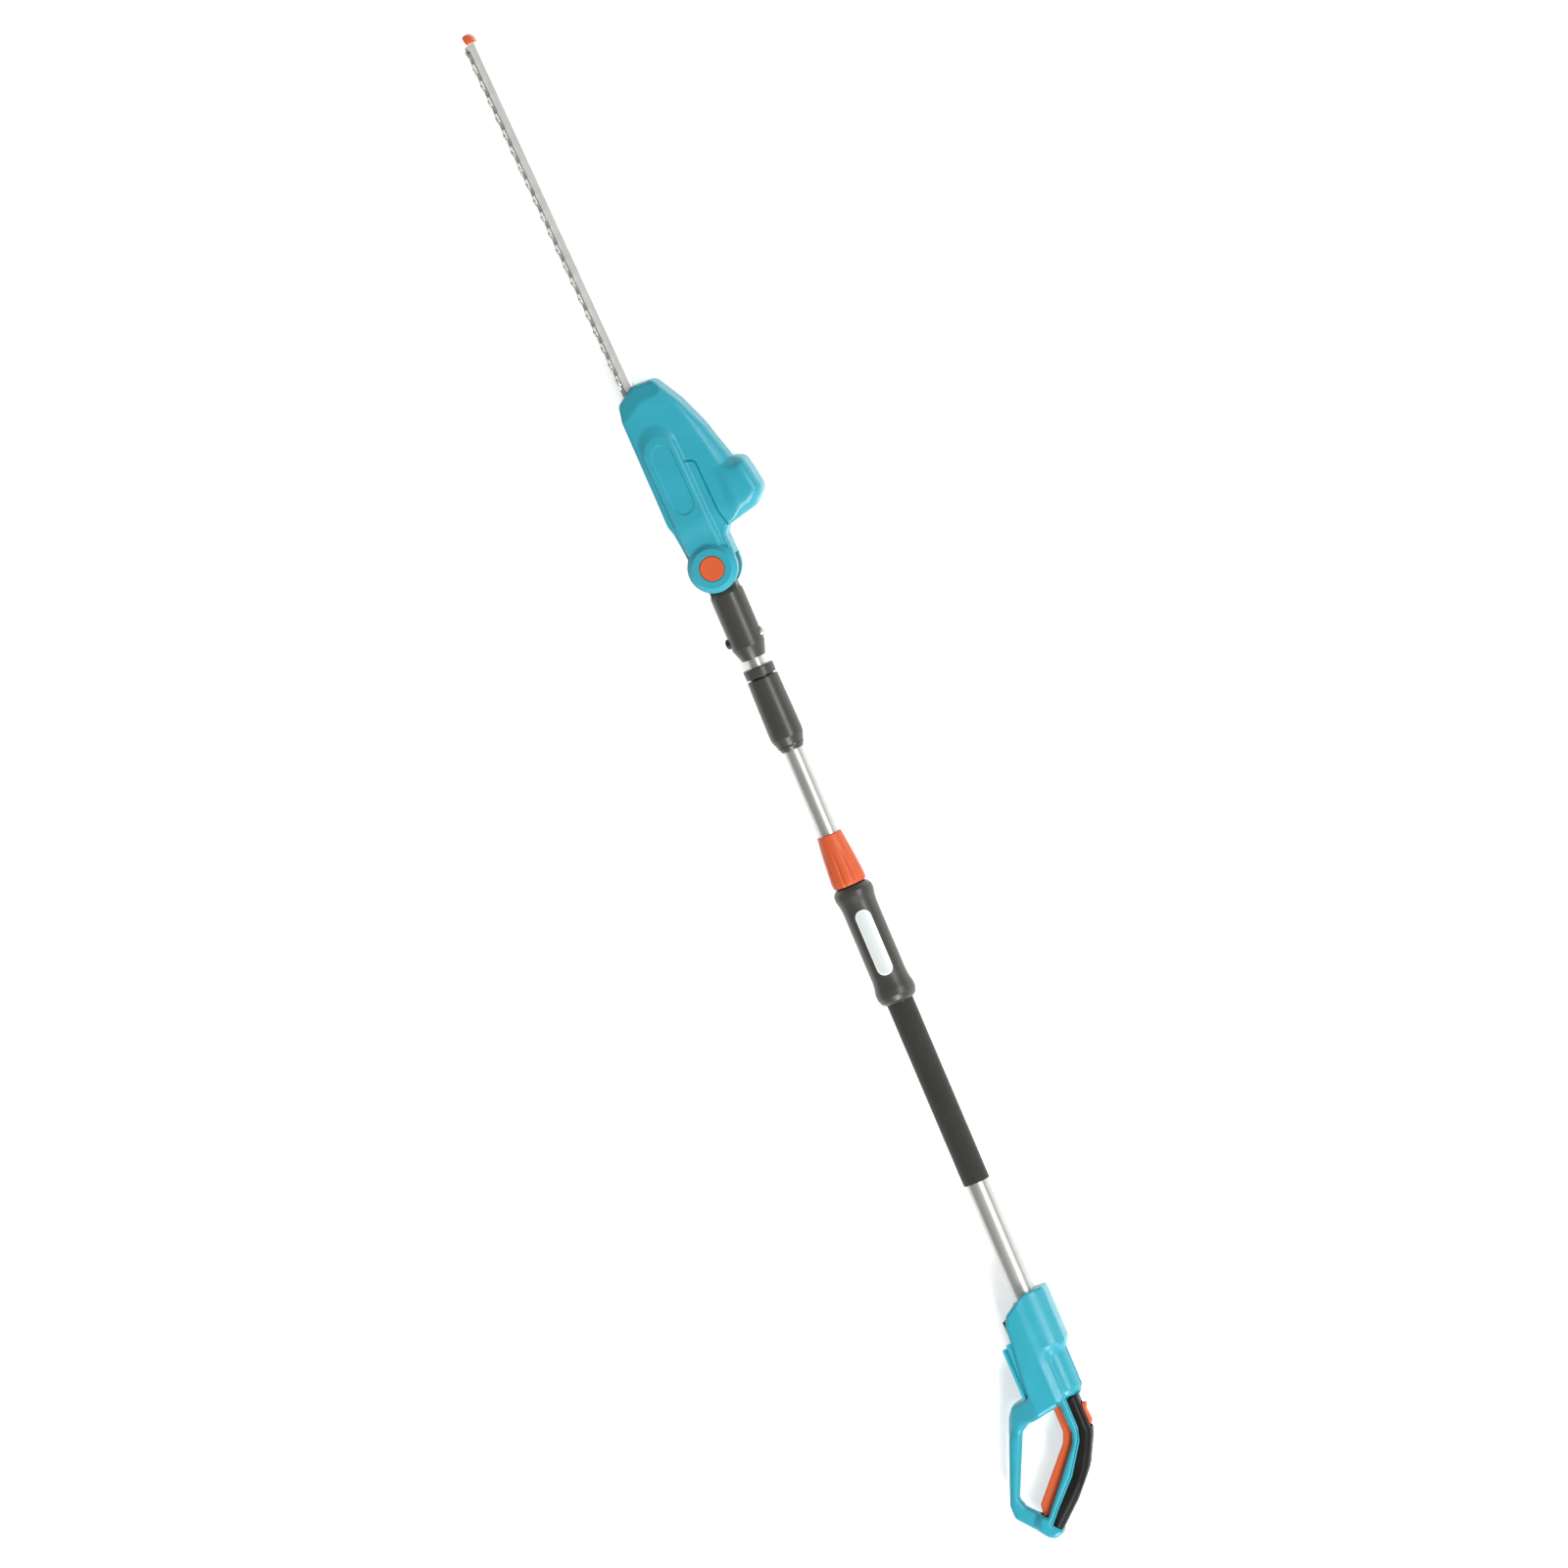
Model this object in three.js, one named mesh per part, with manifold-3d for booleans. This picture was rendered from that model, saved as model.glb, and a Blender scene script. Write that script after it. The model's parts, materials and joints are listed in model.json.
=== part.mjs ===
// Battery pole hedge trimmer, without its battery pack, lying on its side.
// X runs along the pole towards the blade tip, Y towards the hand guard and the battery rails, Z is up.
// Everything is laid out from the handle's end (x = 0) on the pole's axis, and the whole is moved at the
// end so that the origin is under the middle of the object, on the surface that it lies on. Millimetres.
import * as THREE from "three";
import { mergeVertices } from "three/addons/utils/BufferGeometryUtils.js";
import Module from "manifold-3d";

const wasm = await Module();
wasm.setup();

// ---------- driving dimensions ----------
const HALF_WIDTH = 30; // half the head's and the rear housing's width
const GAP = 0.3; // running and assembly gap
const WALL = 2.6; // moulded wall
const FAR = 400; // larger than any piece that a cutter meets

const PIVOT_X = 1222; // head hinge
// How far the blade stands off the pole's line at the straight detent.
const HEAD_CANT = THREE.MathUtils.degToRad(1.6);
const BLADE_TIP = 695; // from the hinge

const OUTER_TUBE_R = 14;
const OUTER_TUBE_X = [218, 822];
const INNER_TUBE_R = 11.75;
const INNER_TUBE_X = [300, 1010];
const STUB_TUBE_R = 10.5;
const STUB_TUBE_X = [1016, 1180];
const TUBE_WALL = 1.2;
const FOAM_R = 16.4;
const FOAM_X = [427, 660.6];
const GRIP_R = 21.6; // front grip at its waist
const FLUTES = 10; // round the clamp nut

const BOLT_X = 1130; // neck bolt
const BOLT_R = 3.5;
const TRIGGER_PIN = [160, 14];
const TRIGGER_HALF = 6.6; // half thickness of the trigger and the lock slider
const TRIGGER_SLOT_HALF = 7.4;
const RUBBER_HALF = 16.4;
const RAIL_X = [168, 235]; // battery rails

const FORK_HALF_GAP = 14; // the neck's lug turns between the head's two ears
const LUG_R = 28;
const LUG_HALF = 13;
const EAR_R = 30;
const BUTTON_R = 15;

const TOOTH_PITCH = 21.3;
const TEETH = 21;
const LAST_TIP = 678; // of the lower comb at mid-stroke
const TOOTH_TIP_Z = 23;
const COMB_HALF = 11.5;
const CRANK_THROW = 5.3; // a quarter of the pitch, so that a stroke of both combs is one whole pitch
const REST_SHIFT = 2.25; // how far each comb stands from mid-stroke
const BAR_HALF = 10;
const NOSE_MOUTH = 16;
const BAR_Y = [-1, 9.1];
const UPPER_COMB_Y = [9.4, 11.4];
const LOWER_COMB_Y = [11.8, 13.8];
const SCREW_X = [262, 390, 518, 646];

const MOTOR_X = 78;
const MOTOR_R = 23;
const PINION_TEETH = 9;
const GEAR_TEETH = 42;
const CRANK_X = MOTOR_X + (PINION_TEETH + GEAR_TEETH) / 2; // module 1

// ---------- materials ----------
const finish = (color, roughness, metalness = 0) =>
  new THREE.MeshStandardMaterial({ color, roughness, metalness });
const teal = finish(0x2f9bb0, 0.42);
const orange = finish(0xe2622f, 0.5);
const darkGrey = finish(0x4a4a44, 0.5);
const black = finish(0x1f201d, 0.6);
const foamBlack = finish(0x2c2c28, 0.95);
const aluminium = finish(0xc9cbc8, 0.35, 1);
const steel = finish(0x9a9b98, 0.35, 1);
const brass = finish(0xb08d4a, 0.35, 1);
const labelGrey = finish(0xd6dad8, 0.4);
const boardGreen = finish(0x1f5a3a, 0.6);

// ---------- shape helpers ----------

// A closed geometry as a solid, with its faces turned outwards and without triangles that shrank to a line.
function solid(geometry) {
  const bare = geometry.clone();
  for (const name of Object.keys(bare.attributes)) {
    if (name !== "position") bare.deleteAttribute(name);
  }
  const merged = mergeVertices(bare, 1e-3);
  const vertProperties = new Float32Array(merged.attributes.position.array);
  const build = (outwards) => {
    const corners = [];
    for (let i = 0; i < merged.index.count; i += 3) {
      const [a, b, c] = merged.index.array.subarray(i, i + 3);
      if (a === b || b === c || c === a) continue;
      corners.push(a, outwards ? b : c, outwards ? c : b);
    }
    const triVerts = new Uint32Array(corners);
    return new wasm.Manifold(new wasm.Mesh({ numProp: 3, vertProperties, triVerts }));
  };
  const made = build(true);
  return made.volume() > 0 ? made : build(false);
}

// A closed outline from corners [x, y, radius]. Each corner with a radius is rounded, as far as its two
// edges leave room, and stays sharp where it would come out tighter than tightest, which a bevel needs.
function outline(corners, tightest = 0) {
  const shape = new THREE.Shape();
  const count = corners.length;
  corners.forEach(([x, y, radius = 0], i) => {
    const corner = new THREE.Vector2(x, y);
    const before = new THREE.Vector2(...corners[(i + count - 1) % count]).sub(corner);
    const after = new THREE.Vector2(...corners[(i + 1) % count]).sub(corner);
    const room = Math.min(radius, 0.47 * before.length(), 0.47 * after.length());
    const reach = room < tightest ? 0 : room;
    const start = corner.clone().addScaledVector(before.normalize(), reach);
    const end = corner.clone().addScaledVector(after.normalize(), reach);
    if (i === 0) shape.moveTo(start.x, start.y);
    else shape.lineTo(start.x, start.y);
    if (reach) shape.quadraticCurveTo(x, y, end.x, end.y);
  });
  return shape;
}

// A slot's outline along X: two half circles of one radius, joined by straight sides.
function stadium(x0, x1, y, radius) {
  const shape = new THREE.Shape();
  shape.absarc(x1 - radius, y, radius, -Math.PI / 2, Math.PI / 2, false);
  shape.absarc(x0 + radius, y, radius, Math.PI / 2, Math.PI * 1.5, false);
  shape.closePath();
  return shape;
}

// A shape drawn in X and Y, thickened along Z, with its edges cut back by bevel.
function plate(shape, z0, z1, { bevel = 0, segments = 3 } = {}) {
  const geometry = new THREE.ExtrudeGeometry(shape, {
    depth: z1 - z0 - 2 * bevel,
    curveSegments: segments,
    bevelEnabled: bevel > 0,
    bevelThickness: bevel,
    bevelSize: bevel,
    bevelOffset: -bevel,
    bevelSegments: 1,
  });
  geometry.translate(0, 0, z0 + bevel);
  return solid(geometry);
}

// The same with the shape drawn in X and Z, thickened along Y.
function upright(shape, y0, y1, segments = 3) {
  const geometry = new THREE.ExtrudeGeometry(shape, {
    depth: y1 - y0,
    curveSegments: segments,
    bevelEnabled: false,
  });
  geometry.rotateX(Math.PI / 2).translate(0, y1, 0);
  return solid(geometry);
}

// A turned piece: profile points [distance along the axis, radius], closed on the axis or on itself.
function turned(profile, { axis = "x", at = [0, 0, 0], segments = 20 } = {}) {
  const closes = profile[0][1] === 0 && profile[profile.length - 1][1] === 0;
  const points = profile.map(([along, radius]) => new THREE.Vector2(radius, along));
  if (!closes) points.push(points[0].clone());
  const geometry = new THREE.LatheGeometry(points, segments);
  if (axis === "x") geometry.rotateZ(-Math.PI / 2);
  if (axis === "z") geometry.rotateX(Math.PI / 2);
  geometry.translate(...at);
  return solid(geometry);
}

const rod = (from, to, radius, options) =>
  turned([[from, 0], [from, radius], [to, radius], [to, 0]], options);
const ring = (from, to, inner, outer, options) =>
  turned([[from, inner], [to, inner], [to, outer], [from, outer]], options);

function block(x, y, z) {
  const geometry = new THREE.BoxGeometry(x[1] - x[0], y[1] - y[0], z[1] - z[0]);
  geometry.translate((x[0] + x[1]) / 2, (y[0] + y[1]) / 2, (z[0] + z[1]) / 2);
  return solid(geometry);
}

// A solid as a named mesh.
function piece(name, made, material) {
  const { numProp, vertProperties, triVerts, numVert } = made.getMesh();
  const position = new Float32Array(numVert * 3);
  for (let i = 0; i < numVert; i++) {
    position.set(vertProperties.subarray(i * numProp, i * numProp + 3), i * 3);
  }
  const geometry = new THREE.BufferGeometry();
  geometry.setAttribute("position", new THREE.BufferAttribute(position, 3));
  geometry.setIndex(new THREE.BufferAttribute(triVerts, 1));
  geometry.computeVertexNormals();
  const mesh = new THREE.Mesh(geometry, material);
  mesh.name = name;
  return mesh;
}

// One half of a two-part casing: what lies on one side of the seam at z = 0.
function half(made, side) {
  const z = side > 0 ? [GAP / 2, FAR] : [-FAR, -GAP / 2];
  return made.intersect(block([-FAR, 2 * FAR], [-FAR, FAR], z));
}

// A helical spring along an axis, as a swept round wire.
function coilSpring({ radius, wire, length, turns, axis = "z", at = [0, 0, 0] }) {
  class Helix extends THREE.Curve {
    getPoint(t) {
      const angle = t * turns * 2 * Math.PI;
      return new THREE.Vector3(radius * Math.cos(angle), radius * Math.sin(angle), t * length);
    }
  }
  const section = new THREE.Shape().absarc(0, 0, wire / 2, 0, 2 * Math.PI, false);
  const geometry = new THREE.ExtrudeGeometry(section, {
    steps: Math.round(turns * 10),
    curveSegments: 3,
    extrudePath: new Helix(),
  });
  if (axis === "x") geometry.rotateY(Math.PI / 2);
  if (axis === "y") geometry.rotateX(-Math.PI / 2);
  geometry.translate(...at);
  return solid(geometry);
}

// ---------- head: casing ----------
// All head pieces are drawn about the hinge, X along the blade.

const HEAD_CORNERS = [
  [18, 24.5], [54, 26, 6], [66, 28.8, 8], [200, 26.6, 12], [220, 23.5, 9], [235, 0, 12], [233, -27, 10],
  [198, -46, 40], [160, -60.5, 60], [112, -73, 4], [106, -89, 11], [62, -95.5, 14], [46, -77, 8],
  [38, -37, 5], [30, -31, 2], [0, -31, 4],
];
const TONGUE_CORNERS = [
  [66, 19, 2], [148, 19, 14], [168, 8, 14], [168, -9, 14], [148, -20, 14], [66, -20, 2],
];

function headBody() {
  const body = plate(outline(HEAD_CORNERS, 7), -26, 26, { bevel: 4 });
  const [face, rim] = [29.8, 23.5];
  const ears = turned(
    [[-face, 0], [-face, rim], [-rim, EAR_R], [rim, EAR_R], [face, rim], [face, 0]],
    { axis: "z", segments: 32 },
  );
  const tongue = plate(outline(TONGUE_CORNERS, 6), -HALF_WIDTH, HALF_WIDTH, { bevel: 3 });
  const pod = turned(
    [[-40, 0], [-40, 25], [-62, HALF_WIDTH], [-80, HALF_WIDTH], [-89, 25], [-93, 15], [-93, 0]],
    { axis: "y", at: [MOTOR_X - 2, 0, 0], segments: 28 },
  );
  return body.add(ears).add(tongue).add(pod);
}

function headCavity() {
  const main = plate(
    outline([
      [48, 20, 3], [66, 26.5, 4], [196, 24.5, 8], [214, 19, 5], [228, -4, 4], [224, -21, 6],
      [158, -55, 50], [110, -69, 3], [56, -69, 3], [46, -36, 3],
    ]),
    -23, 23,
  );
  const motorSeat = rod(-88, -24, MOTOR_R + 1, { axis: "y", at: [MOTOR_X, 0, 0], segments: 24 });
  return main.add(motorSeat);
}

// What is cut from the casing: the fork that straddles the neck's lug, the button bores, the nose mouth
// where the bar and the combs come out, the parting grooves beside the motor pod and the label recesses.
function headCutters() {
  const fork = rod(-FORK_HALF_GAP, FORK_HALF_GAP, LUG_R + 1.3, { axis: "z", segments: 32 });
  const mouthOfFork = block([-40, 5], [-40, 1], [-FORK_HALF_GAP, FORK_HALF_GAP])
    .add(block([-40, 20], [0, 40], [-FORK_HALF_GAP, FORK_HALF_GAP]));
  const buttonBore = rod(-40, 40, BUTTON_R + 0.4, { axis: "z", segments: 24 });
  const nose = block([200, 260], [BAR_Y[0] - 1.2, LOWER_COMB_Y[1] + 3], [-NOSE_MOUTH, NOSE_MOUTH]);
  let cut = fork.add(mouthOfFork).add(buttonBore).add(nose);
  for (const side of [1, -1]) {
    const beyond = (depth) => (side > 0 ? [depth, FAR] : [-FAR, -depth]);
    const groove = outline([
      [36, -36.6], [122, -34.6, 5], [128, -24], [125, -23], [119.6, -32, 3], [36, -34],
    ]);
    cut = cut.add(plate(groove, ...beyond(24.6)));
    cut = cut.add(plate(stadium(69, 158, -1, 13), ...beyond(HALF_WIDTH - 0.8), { segments: 6 }));
  }
  return cut;
}

const HEAD_SCREWS = [[205, -18], [145, -50], [55, -8]];

// Round posts for the screws, and the stepped holes through them.
const postsAt = (places, radius) => places
  .map(([x, y]) => rod(-24, 24, radius, { axis: "z", at: [x, y, 0], segments: 12 }))
  .reduce((sum, post) => sum.add(post));
const screwHole = (x, y, depth, length) =>
  rod(-FAR, -depth, 4.2, { axis: "z", at: [x, y, 0], segments: 12 })
    .add(rod(-depth - 1, length, 2.1, { axis: "z", at: [x, y, 0], segments: 12 }));

function headShells(group) {
  let casing = headBody()
    .subtract(headCavity().subtract(postsAt(HEAD_SCREWS, 5)))
    .subtract(headCutters());
  for (const [x, y] of HEAD_SCREWS) casing = casing.subtract(screwHole(x, y, 24.4, 8.4));
  group.add(piece("head_shell_left", half(casing, 1), teal));
  group.add(piece("head_shell_right", half(casing, -1), teal));
}

function headScrews(group) {
  HEAD_SCREWS.forEach(([x, y], i) => {
    const screw = turned([[-26.2, 0], [-26.2, 3.8], [-24.7, 3.8], [-24.7, 1.8], [8, 1.8], [8, 0]], {
      axis: "z",
      at: [x, y, 0],
      segments: 10,
    });
    group.add(piece(`head_screw_${i + 1}`, screw, steel));
  });
}

// ---------- head: tilt buttons ----------

function tiltButtons(group) {
  const profile = [
    [8, 7.6], [8, 10.4], [15, 10.4], [15, BUTTON_R], [28.8, BUTTON_R], [HALF_WIDTH, 13.8], [HALF_WIDTH, 0],
    [14, 0], [14, 7.6],
  ];
  const near = turned(profile, { axis: "z", segments: 28 });
  group.add(piece("tilt_button_left", near, orange));
  group.add(piece("tilt_button_right", near.mirror([0, 0, 1]), orange));
  const spring = coilSpring({ radius: 6, wire: 1.2, length: 26, turns: 5, at: [0, 0, -13] });
  group.add(piece("tilt_spring", spring, steel));
}

// ---------- head: motor and gears ----------

// A spur gear about the Y axis, teeth as flat-topped wedges.
function gear({ teeth, y, bore, phase = 0, at }) {
  const shape = new THREE.Shape();
  const tip = teeth / 2 + 0.8;
  const root = teeth / 2 - 1.1;
  const step = (2 * Math.PI) / teeth;
  for (let i = 0; i < teeth; i++) {
    const middle = i * step + phase;
    for (const [radius, turn] of [[root, -0.36], [tip, -0.13], [tip, 0.13], [root, 0.36]]) {
      const angle = middle + turn * step;
      const [px, pz] = [radius * Math.cos(angle), radius * Math.sin(angle)];
      if (i === 0 && turn === -0.36) shape.moveTo(px, pz);
      else shape.lineTo(px, pz);
    }
  }
  shape.closePath();
  const body = upright(shape, ...y);
  const hole = rod(y[0] - 1, y[1] + 1, bore, { axis: "y", segments: 14 });
  return body.subtract(hole).translate(at);
}

function motor(group) {
  const at = [MOTOR_X, 0, 0];
  const can = turned(
    [[-29, 6], [-29, MOTOR_R], [-78, MOTOR_R], [-78, MOTOR_R - 1.6], [-30.6, MOTOR_R - 1.6], [-30.6, 6]],
    { axis: "y", at, segments: 24 },
  );
  group.add(piece("motor_can", can, steel));
  const cap = turned([[-78.4, MOTOR_R - 0.4], [-78.4, 3], [-83, 3], [-83, 12], [-81, MOTOR_R - 0.4]], {
    axis: "y",
    at,
    segments: 20,
  });
  group.add(piece("motor_end_cap", cap, black));
}

function rotor(group) {
  const at = [MOTOR_X, 0, 0];
  group.add(piece("motor_shaft", rod(-84, -13.5, 2.4, { axis: "y", at, segments: 12 }), steel));
  group.add(piece("motor_armature", ring(-66, -36, 2.7, 16, { axis: "y", at, segments: 18 }), steel));
  const pinion = gear({ teeth: PINION_TEETH, y: [-22, -13.5], bore: 2.7, phase: Math.PI / PINION_TEETH, at });
  group.add(piece("motor_pinion", pinion, steel));
}

function crank(group) {
  const at = [CRANK_X, 0, 0];
  const shaft = rod(-28, 22, 5, { axis: "y", at, segments: 16 });
  const rise = Math.sqrt(CRANK_THROW ** 2 - REST_SHIFT ** 2);
  const eccentric = (y, side) =>
    rod(...y, 6.5, { axis: "y", at: [CRANK_X + side * REST_SHIFT, 0, side * rise], segments: 16 });
  const shape = shaft.add(eccentric(UPPER_COMB_Y, 1)).add(eccentric(LOWER_COMB_Y, -1));
  group.add(piece("crankshaft", shape, steel));
  group.add(piece("crank_gear", gear({ teeth: GEAR_TEETH, y: [-21.5, -14], bore: 5.3, at }), steel));
}

function gearbox(group) {
  const crankAt = [CRANK_X, 0, 0];
  const motorHole = rod(-29, -20, 4, { axis: "y", at: [MOTOR_X, 0, 0], segments: 14 });
  const motorPlate = upright(stadium(MOTOR_X - 23, CRANK_X + 24, 0, 22), -28.5, -23, 8)
    .subtract(motorHole)
    .subtract(rod(-30, -20, 10, { axis: "y", at: crankAt, segments: 16 }));
  group.add(piece("motor_plate", motorPlate, aluminium));
  const barPlate = upright(stadium(CRANK_X - 20, 212, 0, 18), -8, BAR_Y[0] - GAP, 8)
    .subtract(rod(-9, 0, 5.4, { axis: "y", at: crankAt, segments: 16 }));
  group.add(piece("bar_plate", barPlate, aluminium));
  const bearing = ring(-28.5, -23.5, 5.3, 9.7, { axis: "y", at: crankAt, segments: 16 });
  group.add(piece("crank_bearing", bearing, steel));
}

// ---------- head: bar and combs ----------

function guideBar(group) {
  const channel = block([140, 690], [-4, BAR_Y[0] + 1], [-6, 6]); // shallow, down the back
  let bar = block([150, 682], BAR_Y, [-BAR_HALF, BAR_HALF]).subtract(channel);
  for (const x of SCREW_X) {
    bar = bar.subtract(rod(-3, 12, 3, { axis: "y", at: [x, 0, 0], segments: 12 }));
  }
  group.add(piece("guide_bar", bar, aluminium));
}

function tipGuard(group) {
  const y0 = BAR_Y[0] - 0.3;
  const side = outline([
    [682.4, y0], [690, y0 + 1.5, 4], [BLADE_TIP, 5, 3], [693, 11.4, 3], [682.4, 9.8],
  ]);
  const guard = plate(side, -BAR_HALF - 1.5, BAR_HALF + 1.5, { bevel: 1.5 });
  group.add(piece("tip_guard", guard, orange));
}

// One comb: a flat strip with hooked teeth down both edges, screw slots, and the yoke round its eccentric.
// It is drawn at mid-stroke and then moved by shift. The yoke is open for every angle of the crank.
function comb({ y, tips, end, shift }) {
  const toothed = tips.flatMap((tip) => [
    [tip - 13, COMB_HALF], [tip - 8.5, COMB_HALF + 2.6], [tip - 3, TOOTH_TIP_Z], [tip - 0.6, TOOTH_TIP_Z],
    [tip + 2.2, COMB_HALF],
  ]);
  const yokeHalf = 17;
  const yokeEnd = CRANK_X + 28;
  const tail = [[CRANK_X - 24, 8], [CRANK_X - 20, yokeHalf], [yokeEnd - 8, yokeHalf], [yokeEnd, COMB_HALF]];
  const upper = [...tail, ...toothed, [end, COMB_HALF], [end + 3, 5]];
  const lower = upper.map(([x, z]) => [x, -z]).reverse();
  const reach = 2 * CRANK_THROW + 6.5 + 0.7;
  let made = upright(outline([...upper, ...lower]), ...y)
    .subtract(upright(stadium(CRANK_X - reach, CRANK_X + reach, 0, 12.4), y[0] - 1, y[1] + 1, 6));
  for (const x of SCREW_X) {
    made = made.subtract(upright(stadium(x - 8.6, x + 8.6, 0, 3), y[0] - 1, y[1] + 1, 3));
  }
  return made.translate([shift, 0, 0]);
}

function combs(group) {
  const tips = Array.from({ length: TEETH }, (_, i) => LAST_TIP - (TEETH - 1 - i) * TOOTH_PITCH);
  const upper = comb({ y: UPPER_COMB_Y, tips: tips.slice(0, -1), end: LAST_TIP - 8, shift: REST_SHIFT });
  const lower = comb({ y: LOWER_COMB_Y, tips, end: LAST_TIP + 2.2, shift: -REST_SHIFT });
  group.add(piece("upper_comb", upper, steel));
  group.add(piece("lower_comb", lower, steel));
  SCREW_X.forEach((x, i) => {
    const top = LOWER_COMB_Y[1] + GAP;
    const screw = turned([[1, 0], [1, 2.6], [top, 2.6], [top, 5], [top + 1.8, 4.4], [top + 1.8, 0]], {
      axis: "y",
      at: [x, 0, 0],
      segments: 12,
    });
    group.add(piece(`comb_screw_${i + 1}`, screw, steel));
  });
}

// ---------- neck and coupling ----------
// From here on X is measured from the handle's end again.

function neck(group) {
  const barrel = turned(
    [[1104, STUB_TUBE_R + GAP], [1104, 14.5], [1120, 20.5], [1187, 20.5], [1196, 17.5], [1196, 0], [1182, 0],
      [1182, STUB_TUBE_R + GAP]],
    { segments: 28 },
  );
  const sweep = rod(-FAR, FAR, EAR_R + 1.5, { axis: "z", at: [PIVOT_X, 0, 0], segments: 36 })
    .subtract(block([1100, 1300], [-60, 60], [-LUG_HALF, LUG_HALF]));
  const lug = rod(-LUG_HALF, LUG_HALF, LUG_R, { axis: "z", at: [PIVOT_X, 0, 0], segments: 32 })
    .add(block([1184, 1206], [-17, 17], [-LUG_HALF, LUG_HALF]));
  const cross = rod(-40, 40, 3.9, { axis: "y", at: [BOLT_X, 0, 0], segments: 14 });
  const made = barrel
    .subtract(sweep)
    .add(lug)
    .subtract(rod(-FAR, FAR, BUTTON_R + 0.4, { axis: "z", at: [PIVOT_X, 0, 0], segments: 24 }))
    .subtract(rod(1178, 1215, 4, { segments: 12 }))
    .subtract(cross);
  group.add(piece("neck_socket", made, darkGrey));
  // splined ring inside the lug, which the buttons' hubs engage
  const spline = new THREE.Shape().absarc(0, 0, BUTTON_R, 0, 2 * Math.PI, false);
  const hole = new THREE.Path();
  const count = 24;
  for (let i = 0; i <= count * 2; i++) {
    const angle = (i / (count * 2)) * 2 * Math.PI;
    const radius = i % 2 ? 10.9 : 12.2;
    if (i === 0) hole.moveTo(radius, 0);
    else hole.lineTo(radius * Math.cos(angle), radius * Math.sin(angle));
  }
  spline.holes.push(hole);
  group.add(piece("detent_ring", plate(spline, -7, 7, { segments: 10 }).translate([PIVOT_X, 0, 0]), steel));
}

function neckBolt(group) {
  const bolt = turned(
    [[-22.4, 0], [-22.4, BOLT_R], [20.8, BOLT_R], [20.8, 6], [23.6, 5.6], [25, 3.6], [25, 0]],
    { axis: "y", at: [BOLT_X, 0, 0], segments: 14 },
  );
  group.add(piece("neck_bolt", bolt, black));
  const nut = turned(
    [[-20.8, 3.8], [-20.8, 6.4], [-23, 6], [-25.6, 3], [-26, 0], [-22.8, 0], [-22.8, 3.8]],
    { axis: "y", at: [BOLT_X, 0, 0], segments: 14 },
  );
  group.add(piece("neck_nut", nut, steel));
}

function stubTube(group) {
  const tube = ring(...STUB_TUBE_X, STUB_TUBE_R - TUBE_WALL, STUB_TUBE_R, { segments: 24 })
    .subtract(rod(-20, 20, 3.9, { axis: "y", at: [BOLT_X, 0, 0], segments: 14 }));
  group.add(piece("stub_tube", tube, aluminium));
  const bore = STUB_TUBE_R + GAP;
  const collar = turned(
    [[1081, bore], [1093, bore], [1093, 17.5], [1091.5, 19], [1082, 19], [1081, 18]],
    { segments: 28 },
  );
  group.add(piece("coupling_ring", collar, darkGrey));
}

function coupling(group) {
  const bore = INNER_TUBE_R + GAP;
  const socket = turned(
    [[992, bore], [1012, bore], [1012, STUB_TUBE_R + GAP], [1080.6, STUB_TUBE_R + GAP], [1080.6, 14.5],
      [1077, 14.5], [1077, 16], [992, 16]],
    { segments: 24 },
  );
  group.add(piece("coupling_socket", socket, black));
}

function couplingSleeve(group) {
  const sleeve = turned(
    [[986, INNER_TUBE_R + 0.6], [986, 12.8], [988, 14.5], [1003, 20.2], [1010, 20.6], [1078, 19.2],
      [1078.6, 18.4], [1078.6, 16.4], [991, 16.4], [991, INNER_TUBE_R + 0.6]],
    { segments: 28 },
  );
  group.add(piece("coupling_sleeve", sleeve, darkGrey));
}

// ---------- telescopic pole ----------

function innerTube(group) {
  const tube = ring(...INNER_TUBE_X, INNER_TUBE_R - TUBE_WALL, INNER_TUBE_R, { segments: 28 });
  group.add(piece("inner_tube", tube, aluminium));
}

function clampNut(group) {
  let nut = turned(
    [[811.6, 16.6], [811.6, 18.6], [814, 20.4], [820, 21], [850, 18.4], [876, 15.2], [876.6, 14.6],
      [876.6, 12.2], [869, 12.2], [866, 16.6]],
    { segments: 30 },
  );
  const groove = rod(805, 862, 1.4, { segments: 8 }).translate([0, 21.6, 0]);
  for (let i = 0; i < FLUTES; i++) {
    nut = nut.subtract(groove.rotate([(i * 360) / FLUTES, 0, 0]));
  }
  group.add(piece("clamp_nut", nut, orange));
}

function lowerPole(group) {
  const tube = ring(...OUTER_TUBE_X, OUTER_TUBE_R - TUBE_WALL, OUTER_TUBE_R, { segments: 28 });
  group.add(piece("outer_tube", tube, aluminium));
  const bore = OUTER_TUBE_R + GAP;
  const [foamStart, foamEnd] = FOAM_X;
  const foam = turned(
    [[foamStart, bore], [foamStart, FOAM_R - 1], [foamStart + 1.5, FOAM_R], [foamEnd, FOAM_R],
      [foamEnd, bore]],
    { segments: 24 },
  );
  group.add(piece("foam_sleeve", foam, foamBlack));
  const mouth = INNER_TUBE_R + GAP;
  const collet = turned(
    [[796, bore], [822.4, bore], [822.4, mouth], [864, mouth], [864, 14.2], [850, 16.2], [796, 16.2]],
    { segments: 24 },
  );
  const slit = (angle) => block([840, 870], [-20, 20], [-1, 1]).rotate([angle, 0, 0]);
  group.add(piece("clamp_collet", collet.subtract(slit(0)).subtract(slit(90)), black));
}

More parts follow.
